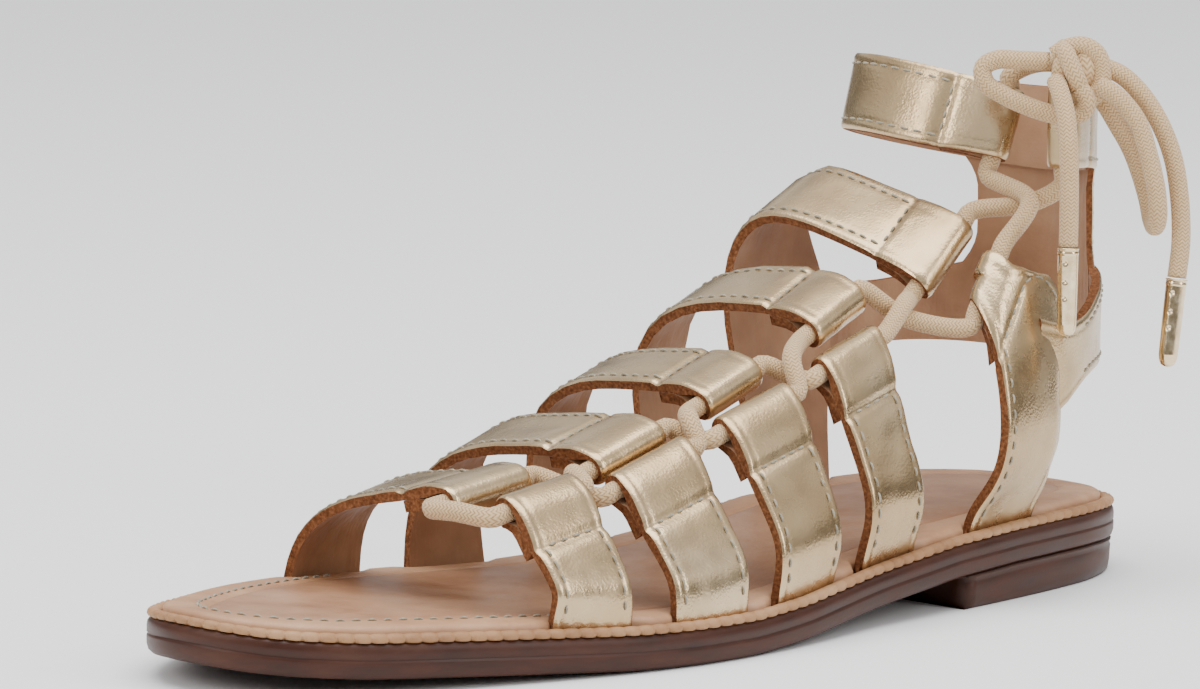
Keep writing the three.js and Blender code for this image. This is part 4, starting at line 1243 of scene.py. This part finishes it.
def cord(name, route, cad):
    points = sampled([Vector(p) for p in route], 0.9)
    obj = tube(name, points, CORD_R, BRAID)
    ride(obj, "lace", cad)
    length = sum((b - a).length for a, b in zip(points, points[1:])) / 1000
    path = [place(p) for p in points]


cord("bow_loop_front", LOOP_FRONT, "lace_loop_front")
cord("bow_loop_side", LOOP_SIDE, "lace_loop_side")
for name, points in (("front", END_FRONT), ("side", END_SIDE)):
    tip = ride(aglet(f"aglet_tip_{name}", points), "lace_tip", f"aglet_{name}")
    cord(f"lace_tail_{name}", points, f"lace_end_{name}")

# ------------------------------------------------------------------ knot
WRAPS = [
    [(-4.4, 1.8, 0.0), (-1.8, 3.3, 0.5), (1.6, 3.7, 0.9), (4.2, 2.0, 0.9), (5.2, -1.4, 0.7), (4.6, -4.6, 0.9),
     (3.0, -6.6, 1.5), (1.2, -7.4, 2.0)],
    [(-2.2, 3.4, -0.8), (-2.1, 2.2, 2.2), (-1.1, -0.6, 3.6), (0.0, -3.2, 3.4), (0.8, -5.2, 1.8),
     (0.9, -6.2, -0.4)],
    [(-3.2, -4.4, -0.8), (-3.1, -2.2, 0.9), (-2.8, 0.0, 1.2), (-2.6, 1.6, 0.2), (-1.6, 2.8, -1.6)],
    [(0.6, -4.6, -0.9), (1.4, -2.4, 0.1), (1.6, -0.4, 0.3), (1.2, 1.4, -0.4)],
]


def wrap_points(wrap):
    return sampled([KNOT + right * a + up * b + back * c for a, b, c in wrap], 0.7)


for n, wrap in enumerate(WRAPS):
    obj = tube(f"knot_wrap_{n + 1}", wrap_points(wrap), CORD_R if n < 3 else 2.6, BRAID)
    ride(obj, "lace", *(("lace_knot",) if n == 0 else ()))

# ------------------------------------------------------------------ light and floor
world = bpy.data.worlds.new("studio")
world.use_nodes = True
sky = world.node_tree
sky_height = node(sky, "ShaderNodeSeparateXYZ")
sky_place = node(sky, "ShaderNodeTexCoord")
sky.links.new(sky_place.outputs["Generated"], sky_height.inputs[0])
sky.links.new(ramp(sky, sky_height.outputs["Z"], [(0.0, (0.16, 0.155, 0.15)), (0.22, (0.2, 0.2, 0.2)),
                                                  (0.42, (1.0, 1.0, 1.0)), (0.62, (0.55, 0.56, 0.58)),
                                                  (1.0, (1.6, 1.6, 1.62))]),
              sky.nodes["Background"].inputs["Color"])
sky.nodes["Background"].inputs["Strength"].default_value = 1.12
bpy.context.scene.world = world


def area(name, at, toward, size, power, colour=(1, 1, 1)):
    data = bpy.data.lights.new(name, "AREA")
    data.shape = "RECTANGLE"
    data.size, data.size_y = size
    data.energy = power
    data.color = colour
    obj = bpy.data.objects.new(name, data)
    obj.location = at
    obj.rotation_euler = (Vector(toward) - Vector(at)).to_track_quat("-Z", "Y").to_euler()
    bpy.context.scene.collection.objects.link(obj)


area("overhead", (0.1, -0.1, 1.5), (0, 0, 0), (1.6, 1.2), 24)
area("front_left", (-0.2, -1.2, 0.7), (0, 0, 0.03), (0.35, 0.7), 5, (1, 0.98, 0.95))
area("right_side", (1.2, 0.35, 0.6), (0, 0, 0.04), (0.3, 0.8), 5)

floor_mesh = bpy.data.meshes.new("floor")
edge = 4.0
corners = [(-edge, -edge, 0), (edge, -edge, 0), (edge, edge, 0), (-edge, edge, 0)]
floor_mesh.from_pydata(corners, [], [(0, 1, 2, 3)])
floor = bpy.data.objects.new("floor", floor_mesh)
bpy.context.scene.collection.objects.link(floor)
paper = shader("paper", (0.95, 0.95, 0.95), 0.8)[0]
floor_mesh.materials.append(paper)
